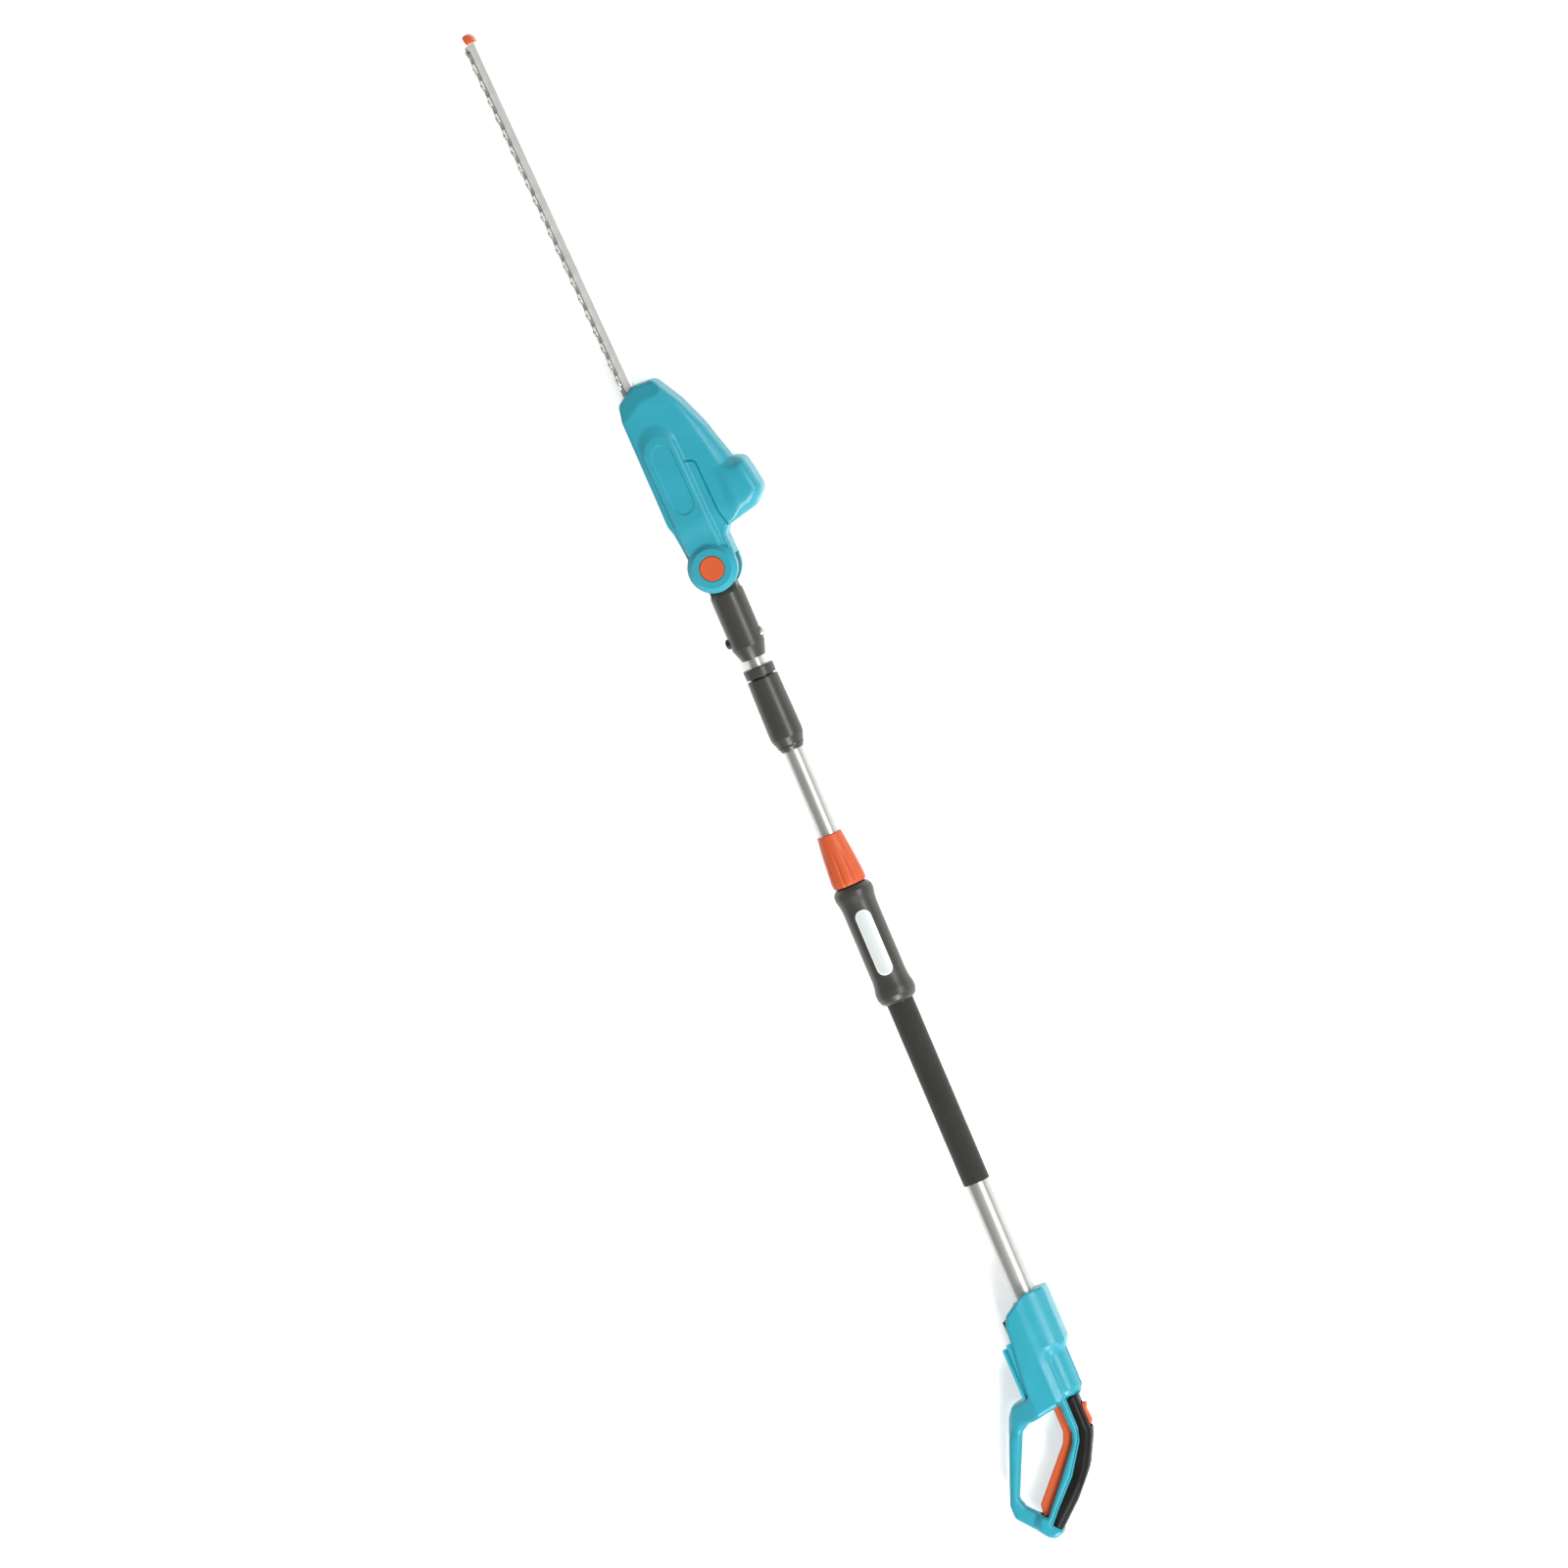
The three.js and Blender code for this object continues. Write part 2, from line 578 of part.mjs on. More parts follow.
function frontGrip(group) {
  const bore = OUTER_TUBE_R + GAP;
  const grip = turned(
    [[661, bore], [661, 16.5], [664, 21], [670, 24], [677, 24.4], [684, 23.2], [692, GRIP_R],
      [785, GRIP_R], [792, 22.8], [799, 24.2], [804, 24], [808.5, 21.6], [810.8, 18], [810.8, 16.6],
      [795.4, 16.6], [795.4, bore]],
    { segments: 32 },
  );
  group.add(piece("front_grip", grip, darkGrey));
  const badge = plate(stadium(697, 780, -2.5, 10), 10, 40, { segments: 8 })
    .intersect(ring(690, 790, GRIP_R + GAP, GRIP_R + 1.1, { segments: 48 }));
  group.add(piece("grip_badge", badge, labelGrey));
}

// A coiled lead of the outer shape of its coil, inside the telescopic tubes.
function coiledLead(group) {
  group.add(piece("coiled_lead", ring(312, 980, 4, 7.5, { segments: 16 }), black));
}

// ---------- rear handle ----------

// The loop's outer line, from the housing round the guard and the heel to the back of the grip.
const HANDLE_OUTER = [
  [168, 46, 6], [164, 66, 8], [151, 76, 10], [54, 116, 10], [37, 116, 8], [1, 86, 4], [-2.5, 78, 5],
  [2, 66, 4], [30, 37, 10], [62, 8, 20], [96, -10, 16], [104, -12.5, 3], [108, -11, 2], [150, -11],
  [170, 0],
];
const HAND_HOLE = [
  [144.5, 12], [141.5, 30], [135.5, 57, 5], [130, 66.6, 6], [58, 101.4, 7], [46, 98, 5], [24, 78, 3],
  [60, 46, 8], [97, 15, 16], [108, 11, 6],
];
const RUBBER_LINE = [[147, 0.5], [112, 0.5, 6], [96, 5, 14], [60, 30, 14], [30, 60, 6], [14, 74.5], [5, 66]];

// x, y, and how deep each screw's head sits
const HANDLE_SCREWS = [[271, 18, 22], [158, 40, 22], [49, 103, 5]];

const BARREL_R = 27; // round the outer tube
const LOWER_BARREL_R = 21;

function housingBody() {
  const upperBarrel = turned(
    [[206, 0], [206, LOWER_BARREL_R], [217, BARREL_R], [283, BARREL_R], [284, 25], [284, 0]],
    { segments: 28 },
  );
  const lowerBarrel = turned(
    [[148, 0], [148, 17], [158, LOWER_BARREL_R], [212, LOWER_BARREL_R], [212, 0]],
    { segments: 24 },
  );
  const flank = plate(
    outline([
      [150, -6], [150, 40], [166, 46], [166, 38], [262, 31], [279, 16], [281, -6],
    ]),
    -HALF_WIDTH, HALF_WIDTH, { bevel: 7 },
  );
  const loop = plate(outline(HANDLE_OUTER, 6), -9, 9, { bevel: 3 });
  const core = outline([
    [156, 26], [112, 26], [22, 79], [6, 80], [2, 66], [30, 37], [62, 8, 20], [96, -10, 16], [156, -11],
  ], 9);
  const grip = plate(core, -16, 16, { bevel: 5 });
  return upperBarrel.add(lowerBarrel).add(flank).add(loop).add(grip);
}

function housingCavity() {
  const main = plate(
    outline([[168, 6], [168, 27.5], [258, 27, 4], [262, 6]]),
    -HALF_WIDTH + WALL, HALF_WIDTH - WALL,
  );
  const barrel = rod(215, 268, BARREL_R - WALL, { segments: 24 })
    .add(rod(166, 218, LOWER_BARREL_R - WALL, { segments: 24 }));
  const tubeBore = rod(250, 300, OUTER_TUBE_R + GAP, { segments: 28 });
  return main.add(barrel).add(tubeBore);
}

// The rubber lies outside the grip's core, between this line and the back of the hand.
function rubberGripShape(tightest = 0) {
  const back = [[30, 37], [62, 8, 20], [96, -10, 16], [104, -12.5, 3], [108, -11, 2], [147, -11]];
  return outline([...RUBBER_LINE, ...back], tightest);
}

function triggerShape(inset = 0) {
  return outline([
    [167 + inset, 21.5 + inset], [112, 21.5 + inset, 14], [100, 27 + inset, 14], [42, 80.5 + inset, 4],
    [27 - inset, 82.5 + inset, 3], [25 - inset, 75 - inset], [58, 44 - inset, 14], [98, 9 - inset, 16],
    [112, 5 - inset, 8], [167 + inset, 5 - inset],
  ]);
}

function handleShells(group) {
  const hand = plate(outline(HAND_HOLE), -40, 40);
  const channel = plate(triggerShape(1.4), -TRIGGER_SLOT_HALF, TRIGGER_SLOT_HALF);
  const swing = plate(
    outline([
      [172, -2], [172, 25], [150, 25], [26, 88], [17, 80], [15, 72], [60, 26], [96, 2], [110, -2],
    ]),
    -TRIGGER_SLOT_HALF, TRIGGER_SLOT_HALF,
  );
  const rubberSeat = plate(outline([...RUBBER_LINE, [-10, 60], [60, -30], [147, -30]]), -40, 40)
    .translate([GAP / 2, GAP, 0]);
  const pinBore = rod(-14.3, 14.3, 2.6, { axis: "z", at: [...TRIGGER_PIN, 0], segments: 14 });
  const lockBay = plate(outline([[146, -30], [146, 2], [105, 2], [105, -30]]), -7.6, 7.6);
  const bayFloor = plate(outline([[167, 30.3], [262, 30.3], [262, 60], [167, 60]]), -26.5, 26.5);
  const casing = housingBody()
    .subtract(housingCavity())
    .subtract(hand)
    .subtract(channel)
    .subtract(swing)
    .subtract(lockBay)
    .subtract(bayFloor)
    .subtract(pinBore)
    .subtract(rubberSeat);
  group.add(piece("handle_shell_left", half(casing, 1), teal));
  let right = half(casing, -1);
  for (const [x, y, depth] of HANDLE_SCREWS) {
    right = right.subtract(rod(-40, -depth, 4.2, { axis: "z", at: [x, y, 0], segments: 12 }));
  }
  group.add(piece("handle_shell_right", right, teal));
}

function handleScrews(group) {
  HANDLE_SCREWS.forEach(([x, y, depth], i) => {
    const head = -depth - GAP;
    const screw = turned([[head - 2.4, 0], [head - 2.4, 3.8], [head, 3.8], [head, 0]], {
      axis: "z",
      at: [x, y, 0],
      segments: 10,
    });
    group.add(piece(`handle_screw_${i + 1}`, screw, steel));
  });
}

function rubberGrip(group) {
  const lockSlot = block([105, 138.5], [-30, 4], [-TRIGGER_SLOT_HALF, TRIGGER_SLOT_HALF]);
  const made = plate(rubberGripShape(9), -RUBBER_HALF, RUBBER_HALF, { bevel: 5 }).subtract(lockSlot);
  group.add(piece("rubber_grip", made, black));
}

function lockButton(group) {
  const slider = outline([
    [109.5, -9], [109.5, -14.5, 1.5], [113, -16.4, 2], [128, -15.2, 3], [133, -18, 2], [136, -17.4, 1.5],
    [136, -9], [134, -3], [111, -3],
  ]);
  const button = plate(slider, -TRIGGER_HALF, TRIGGER_HALF, { bevel: 1.2 });
  group.add(piece("lock_button", button, orange));
  const spring = coilSpring({ radius: 2, wire: 0.8, length: 4, turns: 2.5, axis: "x", at: [105.4, -5.5, 0] });
  group.add(piece("lock_spring", spring, steel));
}

function trigger(group) {
  const [px, py] = TRIGGER_PIN;
  const bore = rod(-20, 20, 2.6, { axis: "z", at: [px, py, 0], segments: 14 });
  const lever = plate(triggerShape(), -TRIGGER_HALF, TRIGGER_HALF, { bevel: 1.2 }).subtract(bore);
  group.add(piece("trigger", lever, orange));
}

function switchGear(group) {
  const [px, py] = TRIGGER_PIN;
  group.add(piece("trigger_pin", rod(-14, 14, 2.3, { axis: "z", at: [px, py, 0], segments: 12 }), steel));
  const spring = coilSpring({ radius: 2.6, wire: 0.8, length: 4.6, turns: 3, axis: "y", at: [120, -0.6, 0] });
  group.add(piece("trigger_spring", spring, steel));
  group.add(piece("switch_body", block([182, 208], [2, 18], [-5.5, 5.5]), black));
  group.add(piece("control_board", block([174, 246], [21.5, 23.1], [-22, 22]), boardGreen));
}

// Battery rails on the underside: each has a foot, a neck and a lip turned outwards, and the battery's
// grooves run between foot and lip. The terminal block closes their upper end.
function batteryMount(group) {
  for (const [name, side] of [["left", 1], ["right", -1]]) {
    const across = (inner, outer) => [side * inner, side * outer].sort((a, b) => a - b);
    const lipX = [RAIL_X[0], RAIL_X[1] - 4];
    const rail = block(RAIL_X, [30.6, 40.6], across(15, 26))
      .add(block(lipX, [40, 44], across(15, 22)))
      .add(block(lipX, [43.6, 47], across(15, 26)));
    group.add(piece(`battery_rail_${name}`, rail, teal));
  }
  group.add(piece("terminal_block", block([216, 261], [30.6, 35.4], [-14.5, 14.5]), black));
  [-8, 8].forEach((z, i) => {
    const blade = block([197, 215.7], [31.6, 34.4], [z - 0.6, z + 0.6]);
    group.add(piece(`terminal_blade_${i + 1}`, blade, brass));
  });
}

// ---------- assembly ----------

function assemble() {
  const root = new THREE.Group();
  const tool = new THREE.Group();
  root.add(tool);

  const head = new THREE.Group();
  head.position.set(PIVOT_X, 0, 0);
  head.rotation.z = HEAD_CANT;
  const headMakers = [
    headShells, headScrews, tiltButtons, motor, rotor, crank, gearbox, guideBar, tipGuard, combs,
  ];
  const poleMakers = [
    neck, neckBolt, stubTube, coupling, couplingSleeve, innerTube, clampNut, lowerPole, frontGrip,
    coiledLead, handleShells, handleScrews, rubberGrip, lockButton, trigger, switchGear, batteryMount,
  ];
  for (const make of headMakers) make(head);
  tool.add(head);
  for (const make of poleMakers) make(tool);

  // Put the origin under the middle of the object's box.
  root.updateMatrixWorld(true);
  const box = new THREE.Box3().setFromObject(tool, true);
  const middle = box.getCenter(new THREE.Vector3());
  tool.position.set(-middle.x, -middle.y, -box.min.z);
  return root;
}

export default assemble();
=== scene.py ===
# Battery pole hedge trimmer, without its battery pack, lying on its side on a pale studio floor.
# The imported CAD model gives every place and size. Shapes are drawn in the CAD model's own layout, in
# millimetres: x along the pole from the handle's end, y towards the hand guard, z up from the pole's
# axis. The head is drawn about its hinge. POLE and HEAD carry both layouts into the row frame.
import json
import math
import bpy
import numpy as np
from mathutils import Matrix, Vector
from mathutils.geometry import delaunay_2d_cdt


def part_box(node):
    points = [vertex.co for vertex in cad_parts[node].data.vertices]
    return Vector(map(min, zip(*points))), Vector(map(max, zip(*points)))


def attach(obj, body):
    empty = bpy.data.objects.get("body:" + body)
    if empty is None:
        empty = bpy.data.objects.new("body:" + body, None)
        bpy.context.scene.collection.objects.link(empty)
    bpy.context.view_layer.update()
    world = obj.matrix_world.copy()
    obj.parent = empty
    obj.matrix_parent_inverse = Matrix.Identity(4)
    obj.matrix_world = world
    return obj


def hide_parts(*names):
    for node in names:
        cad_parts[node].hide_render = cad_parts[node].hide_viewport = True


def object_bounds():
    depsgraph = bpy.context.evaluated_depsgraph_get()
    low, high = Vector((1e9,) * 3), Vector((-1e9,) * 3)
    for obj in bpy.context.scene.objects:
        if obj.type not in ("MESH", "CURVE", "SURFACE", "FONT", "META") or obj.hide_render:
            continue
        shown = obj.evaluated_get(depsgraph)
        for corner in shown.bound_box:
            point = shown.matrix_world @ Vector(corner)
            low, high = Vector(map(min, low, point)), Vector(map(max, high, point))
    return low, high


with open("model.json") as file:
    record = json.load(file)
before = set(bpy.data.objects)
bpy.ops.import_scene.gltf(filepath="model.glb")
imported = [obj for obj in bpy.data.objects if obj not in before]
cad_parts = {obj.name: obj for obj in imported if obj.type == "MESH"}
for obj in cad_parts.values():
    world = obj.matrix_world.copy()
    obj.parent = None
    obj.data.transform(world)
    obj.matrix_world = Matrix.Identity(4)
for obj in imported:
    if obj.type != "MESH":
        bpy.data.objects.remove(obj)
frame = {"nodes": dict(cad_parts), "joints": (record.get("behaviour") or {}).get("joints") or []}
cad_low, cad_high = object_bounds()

MM = 0.001


# ---------- places in the frame ----------

def centre(node):
    low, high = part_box(node)
    return (low + high) / 2


TUBE_START = 218  # where the outer tube begins
pole_axis = centre("outer_tube")
start = Vector((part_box("outer_tube")[0].x - TUBE_START * MM, pole_axis.y, pole_axis.z))
POLE = Matrix.Translation(start) @ Matrix.Scale(MM, 4)
comb_joint = next(j for j in frame["joints"] if j["name"] == "upper_comb_stroke")
cant = math.atan2(comb_joint["axis"][1], comb_joint["axis"][0])
HEAD = Matrix.Translation(centre("detent_ring")) @ Matrix.Rotation(cant, 4, "Z") @ Matrix.Scale(MM, 4)


# ---------- materials ----------

class Finish:
    """A material being built round one Principled shader."""

    def __init__(self, name):
        self.material = bpy.data.materials.new(name)
        self.material.use_nodes = True
        self.tree = self.material.node_tree
        self.shader = self.tree.nodes["Principled BSDF"]
        self.place = self.node("ShaderNodeTexCoord").outputs["Object"]

    def node(self, kind, inputs=None, **settings):
        made = self.tree.nodes.new(kind)
        for key, value in settings.items():
            setattr(made, key, value)
        for key, value in (inputs or {}).items():
            if isinstance(value, bpy.types.NodeSocket):
                self.tree.links.new(value, made.inputs[key])
            else:
                made.inputs[key].default_value = value
        return made

    def noise(self, scale, detail=3.0, place=None, distortion=0.0):
        made = self.node("ShaderNodeTexNoise", {
            "Vector": place or self.place, "Scale": scale, "Detail": detail, "Distortion": distortion,
        })
        return made.outputs["Fac"]

    def stretched(self, x, y, z):
        return self.node("ShaderNodeMapping", {"Vector": self.place, "Scale": (x, y, z)}).outputs["Vector"]

    def between(self, fac, low, high, start=0.3, end=0.7):
        """low to high as fac goes from start to end."""
        made = self.node("ShaderNodeMapRange", {
            "Value": fac, "From Min": start, "From Max": end, "To Min": low, "To Max": high,
        })
        return made.outputs["Result"]

    def ramp(self, fac, *stops):
        made = self.node("ShaderNodeValToRGB", {"Fac": fac})
        elements = made.color_ramp.elements
        while len(elements) < len(stops):
            elements.new(0.5)
        for element, (position, colour) in zip(elements, stops):
            element.position = position
            element.color = (*colour, 1)
        return made.outputs["Color"]

    def blend(self, kind, fac, a, b):
        made = self.node("ShaderNodeMixRGB", {"Fac": fac, "Color1": a, "Color2": b}, blend_type=kind)
        return made.outputs["Color"]

    def bump(self, height, strength, distance, under=None):
        inputs = {"Height": height, "Strength": strength, "Distance": distance}
        if under:
            inputs["Normal"] = under
        return self.node("ShaderNodeBump", inputs).outputs["Normal"]

    def paler_edges(self, colour, lighter, amount):
        """The colour, a little lighter along the mesh's outer edges."""
        edge = self.node("ShaderNodeNewGeometry").outputs["Pointiness"]
        edge_lift = self.between(edge, 0.0, amount, 0.52, 0.62)
        broken = self.node("ShaderNodeMath", {0: edge_lift, 1: self.noise(300, 4)}, operation="MULTIPLY")
        return self.blend("MIX", broken.outputs["Value"], colour, (*lighter, 1))

    def set(self, **values):
        names = {"colour": "Base Color", "roughness": "Roughness", "metal": "Metallic", "normal": "Normal",
                 "specular": "Specular IOR Level", "coat": "Coat Weight", "coat_roughness": "Coat Roughness",
                 "sheen": "Sheen Weight", "glow": "Emission Color", "glow_strength": "Emission Strength"}
        for key, value in values.items():
            socket = self.shader.inputs[names[key]]
            if isinstance(value, bpy.types.NodeSocket):
                self.tree.links.new(value, socket)
            else:
                socket.default_value = value
        return self.material


def scaled(colour, factor):
    return tuple(min(1.0, c * factor) for c in colour)


def moulded(name, colour, roughness, grain=0.22, mottle=0.05, edge_lift=0.5, specular=0.5):
    """Spark-eroded moulded plastic: fine grain, faint flow marks, and paler outer edges."""
    f = Finish(name)
    flow = f.noise(18, 4, distortion=0.6)
    speck = f.noise(900, 3)
    base = f.ramp(flow, (0.3, scaled(colour, 1 - mottle)), (0.7, scaled(colour, 1 + mottle)))
    specked = f.blend("MULTIPLY", 0.25, base, f.ramp(speck, (0.3, (0.86,) * 3), (0.6, (1.0,) * 3)))
    # the colour is made paler along the mesh's outer edges, broken up by fine noise
    shown = f.paler_edges(specked, scaled(colour, 1.6), edge_lift)
    rough = f.between(f.noise(55, 5), roughness - 0.05, roughness + 0.06)
    sink = f.bump(f.noise(35, 2), 0.12, 0.0006)
    skin = f.bump(f.noise(2600, 2), grain, 0.00006, sink)
    return f.set(colour=shown, roughness=rough, normal=skin, specular=specular)


def drawn_metal(name, colour, roughness, along=(6, 1500, 1500), scratch=0.2):
    """Drawn or ground metal with grain along one direction, over faint broad stains."""
    f = Finish(name)
    lines = f.noise(1.0, 4, f.stretched(*along))
    hairs = f.noise(1.0, 2, f.stretched(along[0] * 2.5, along[1] * 2.4, along[2] * 2.4))
    stain = f.noise(26, 4, distortion=0.4)
    base = f.ramp(stain, (0.3, scaled(colour, 0.94)), (0.7, scaled(colour, 1.04)))
    grained = f.blend("MULTIPLY", 0.6, base, f.ramp(lines, (0.3, (0.88,) * 3), (0.7, (1.0,) * 3)))
    rough = f.between(hairs, roughness - 0.07, roughness + 0.09)
    return f.set(colour=grained, roughness=rough, metal=1.0, normal=f.bump(lines, scratch, 0.00004))


def foam_rubber(name, colour):
    """Closed-cell foam sleeve: a skin of open pores, with painted shade darkening each pore's middle and
    paler rims.
    """
    f = Finish(name)
    cells = f.node("ShaderNodeTexVoronoi", {"Vector": f.place, "Scale": 620.0, "Randomness": 1.0})
    pits = f.node("ShaderNodeTexVoronoi", {"Vector": f.place, "Scale": 1500.0, "Randomness": 1.0})
    # painted shade: the colour darkens towards each pore's middle, where the bump sinks the pit
    rim = f.ramp(cells.outputs["Distance"], (0.1, scaled(colour, 0.55)), (0.5, scaled(colour, 1.1)))
    patch = f.ramp(f.noise(16, 4), (0.3, (0.86,) * 3), (0.7, (1.0,) * 3))
    deep = f.bump(cells.outputs["Distance"], 0.55, 0.0003)
    skin = f.bump(pits.outputs["Distance"], 0.4, 0.00012, deep)
    pore_shaded_colour = f.blend("MULTIPLY", 1.0, rim, patch)
    return f.set(colour=pore_shaded_colour, roughness=f.between(f.noise(700, 2), 0.78, 0.95), normal=skin,
                 specular=0.25, sheen=0.15)


def soft_rubber(name, colour, roughness):
    """Overmoulded elastomer: fine leather-like grain and dull polished patches from the hand."""
    f = Finish(name)
    grain = f.node("ShaderNodeTexVoronoi", {"Vector": f.place, "Scale": 1100.0}, feature="F2")
    handled = f.noise(30, 3)
    base = f.ramp(handled, (0.3, scaled(colour, 0.85)), (0.7, scaled(colour, 1.25)))
    # the colour is made paler along the mesh's outer edges, broken up by fine noise
    shown = f.paler_edges(base, scaled(colour, 2.2), 0.4)
    rough = f.between(handled, roughness - 0.08, roughness + 0.08)
    return f.set(colour=shown, roughness=rough, specular=0.22,
                 normal=f.bump(grain.outputs["Distance"], 0.25, 0.00009))


def label_foil(name, colour):
    """Satin foil inlay: very fine brushing under a clear coat."""
    f = Finish(name)
    lines = f.noise(1.0, 3, f.stretched(40, 2200, 40))
    base = f.ramp(lines, (0.3, scaled(colour, 0.95)), (0.7, scaled(colour, 1.03)))
    return f.set(colour=base, roughness=f.between(f.noise(60, 3), 0.3, 0.42), coat=0.4, coat_roughness=0.12,
                 normal=f.bump(lines, 0.1, 0.00003))


def circuit(name):
    """Green solder mask with faint copper runs beneath."""
    f = Finish(name)
    runs = f.node("ShaderNodeTexBrick", {
        "Vector": f.stretched(1, 1, 1), "Scale": 180.0, "Mortar Size": 0.03,
        "Color1": (0.012, 0.11, 0.045, 1), "Color2": (0.016, 0.14, 0.055, 1), "Mortar": (0.04, 0.24, 0.1, 1),
    })
    return f.set(colour=runs.outputs["Color"], roughness=f.between(f.noise(200, 2), 0.3, 0.42),
                 normal=f.bump(runs.outputs["Fac"], 0.2, 0.00005))


TEAL = (0.018, 0.300, 0.385)
ORANGE = (0.560, 0.085, 0.017)
FINISHES = {
    "teal_shell": moulded("teal_shell_moulded", TEAL, 0.36, edge_lift=0.35),
    "orange_trim": moulded("orange_trim_moulded", ORANGE, 0.44, mottle=0.04, edge_lift=0.2),
    "dark_grey_plastic": moulded("dark_grey_moulded", (0.036, 0.037, 0.030), 0.37, grain=0.3, edge_lift=0.3),
    "black_plastic": moulded("black_moulded", (0.007, 0.007, 0.006), 0.45, grain=0.35, edge_lift=0.3),
    "soft_grip": soft_rubber("grip_elastomer", (0.003, 0.0032, 0.0033), 0.40),
    "foam": foam_rubber("foam_cells", (0.025, 0.026, 0.021)),
    "pale_label": label_foil("label_foil", (0.58, 0.63, 0.62)),
    "tube_aluminium": drawn_metal("anodised_tube", (0.54, 0.54, 0.52), 0.40),
    "blade_steel": drawn_metal("ground_blade", (0.50, 0.50, 0.48), 0.34, (1400, 1400, 60), 0.3),
    "bright_steel": drawn_metal("zinc_plate", (0.62, 0.63, 0.62), 0.3, (900, 900, 900), 0.15),
    "contact_brass": drawn_metal("contact_brass", (0.72, 0.52, 0.20), 0.28, (60, 1500, 1500), 0.2),
    "circuit_board": circuit("solder_mask"),
}
RIM_WHITE = label_foil("label_rim", (0.80, 0.81, 0.80))
RAIL_METAL = drawn_metal("bar_anodised", (0.90, 0.90, 0.87), 0.42, (5, 1300, 1300), 0.25)


# ---------- flat outlines ----------

def rounded(corners, step=1.3):
    """A closed outline from corners [x, y, radius] as points about step apart, with true fillets."""
    count = len(corners)
    line = []
    for i, corner in enumerate(corners):
        here = np.array(corner[:2], float)
        radius = corner[2] if len(corner) > 2 else 0
        back = np.array(corners[i - 1][:2], float) - here
        ahead = np.array(corners[(i + 1) % count][:2], float) - here
        back_length, ahead_length = np.linalg.norm(back), np.linalg.norm(ahead)
        back, ahead = back / back_length, ahead / ahead_length
        opening = math.acos(max(-1.0, min(1.0, float(back @ ahead))))
        if radius == 0 or opening > math.pi - 0.02:
            line.append(here)
            continue
        reach = min(radius / math.tan(opening / 2), 0.48 * back_length, 0.48 * ahead_length)
        radius = reach * math.tan(opening / 2)
        middle = here + (back + ahead) / np.linalg.norm(back + ahead) * radius / math.sin(opening / 2)
        first, last = here + back * reach, here + ahead * reach
        start_angle = math.atan2(*(first - middle)[::-1])
        turn = (math.atan2(*(last - middle)[::-1]) - start_angle + math.pi) % (2 * math.pi) - math.pi
        pieces = max(2, math.ceil(abs(turn) / 0.2), math.ceil(abs(turn) * radius / step))
        for k in range(pieces + 1):
            angle = start_angle + turn * k / pieces
            line.append(middle + radius * np.array([math.cos(angle), math.sin(angle)]))
    return resampled(np.array(line), step)


def resampled(line, step, closed=True):
    """The same line with no edge much longer than step."""
    ends = np.roll(line, -1, axis=0) if closed else line[1:]
    out = []
    for a, b in zip(line, ends):
        pieces = max(1, math.ceil(np.linalg.norm(b - a) / step - 0.2))
        out += [a + (b - a) * k / pieces for k in range(pieces)]
    if not closed:
        out.append(line[-1])
    return np.array(out)


def circle(x, y, radius, count=96):
    turn = np.linspace(0, 2 * math.pi, count, endpoint=False)
    return np.stack([x + radius * np.cos(turn), y + radius * np.sin(turn)], axis=1)


def distances(points, line, closed=True):
    """How far each point is from a line of points."""
    a = line if closed else line[:-1]
    b = np.roll(line, -1, axis=0) if closed else line[1:]
    along = b - a
    squared = np.maximum((along**2).sum(1), 1e-12)
    out = np.empty(len(points))
    for first in range(0, len(points), 2000):
        offset = points[first:first + 2000, None, :] - a[None]
        t = np.clip((offset * along).sum(2) / squared, 0, 1)
        out[first:first + 2000] = np.sqrt(((offset - t[..., None] * along) ** 2).sum(2)).min(1)
    return out


def inside(points, loops):
    """Which points lie inside an odd number of the loops."""
    found = np.zeros(len(points), bool)
    x, y = points[:, 0:1], points[:, 1:2]
    for loop in loops:
        a, b = loop, np.roll(loop, -1, axis=0)
        crosses = (a[:, 1] > y) != (b[:, 1] > y)
        rise = np.where(b[:, 1] == a[:, 1], 1e-12, b[:, 1] - a[:, 1])
        at = a[:, 0] + (y - a[:, 1]) / rise * (b[:, 0] - a[:, 0])
        found ^= (crosses & (x < at)).sum(1) % 2 == 1
    return found


def normals(line, closed=True):
    if closed:
        tangent = np.roll(line, -1, axis=0) - np.roll(line, 1, axis=0)
    else:
        tangent = np.gradient(line, axis=0)
    tangent /= np.linalg.norm(tangent, axis=1, keepdims=True)
    return np.stack([tangent[:, 1], -tangent[:, 0]], axis=1)


def step_up(value):
    """0 to 1 with soft ends."""
    t = np.clip(value, 0, 1)
    return t * t * (3 - 2 * t)


def falloff(distance, radius):
    """How far a rounded edge has dropped at this distance in from it."""
    reach = np.clip(radius - distance, 0, radius)
    return radius - np.sqrt(radius**2 - reach**2)


def higher(a, b, soft):
    """The higher of two heights, joined by a fillet."""
    overlap = np.maximum(soft - np.abs(a - b), 0) / soft
    return np.maximum(a, b) + overlap**2 * soft / 4


# ---------- mesh pieces ----------

def finish_piece(name, vertices, faces, look, body, slot=None, replaces=(), place=POLE, sharp=32):
    """A smooth-shaded object from design millimetres, riding on a body and standing for CAD nodes."""
    mesh = bpy.data.meshes.new(name)
    mesh.from_pydata([place @ Vector(v) for v in vertices], [], faces)
    mesh.validate()
    mesh.shade_smooth()
    mesh.set_sharp_from_angle(angle=math.radians(sharp))
    mesh.materials.append(FINISHES[look] if isinstance(look, str) else look)
    made = bpy.data.objects.new(name, mesh)
    bpy.context.scene.collection.objects.link(made)
    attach(made, body)
    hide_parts(*replaces)
    return made


EDGE_ROWS = (0.12, 0.5, 1.1, 1.9, 2.6, 3.1, 4.2, 5.6, 7.4)
THINNEST = 0.4  # a shell's least thickness


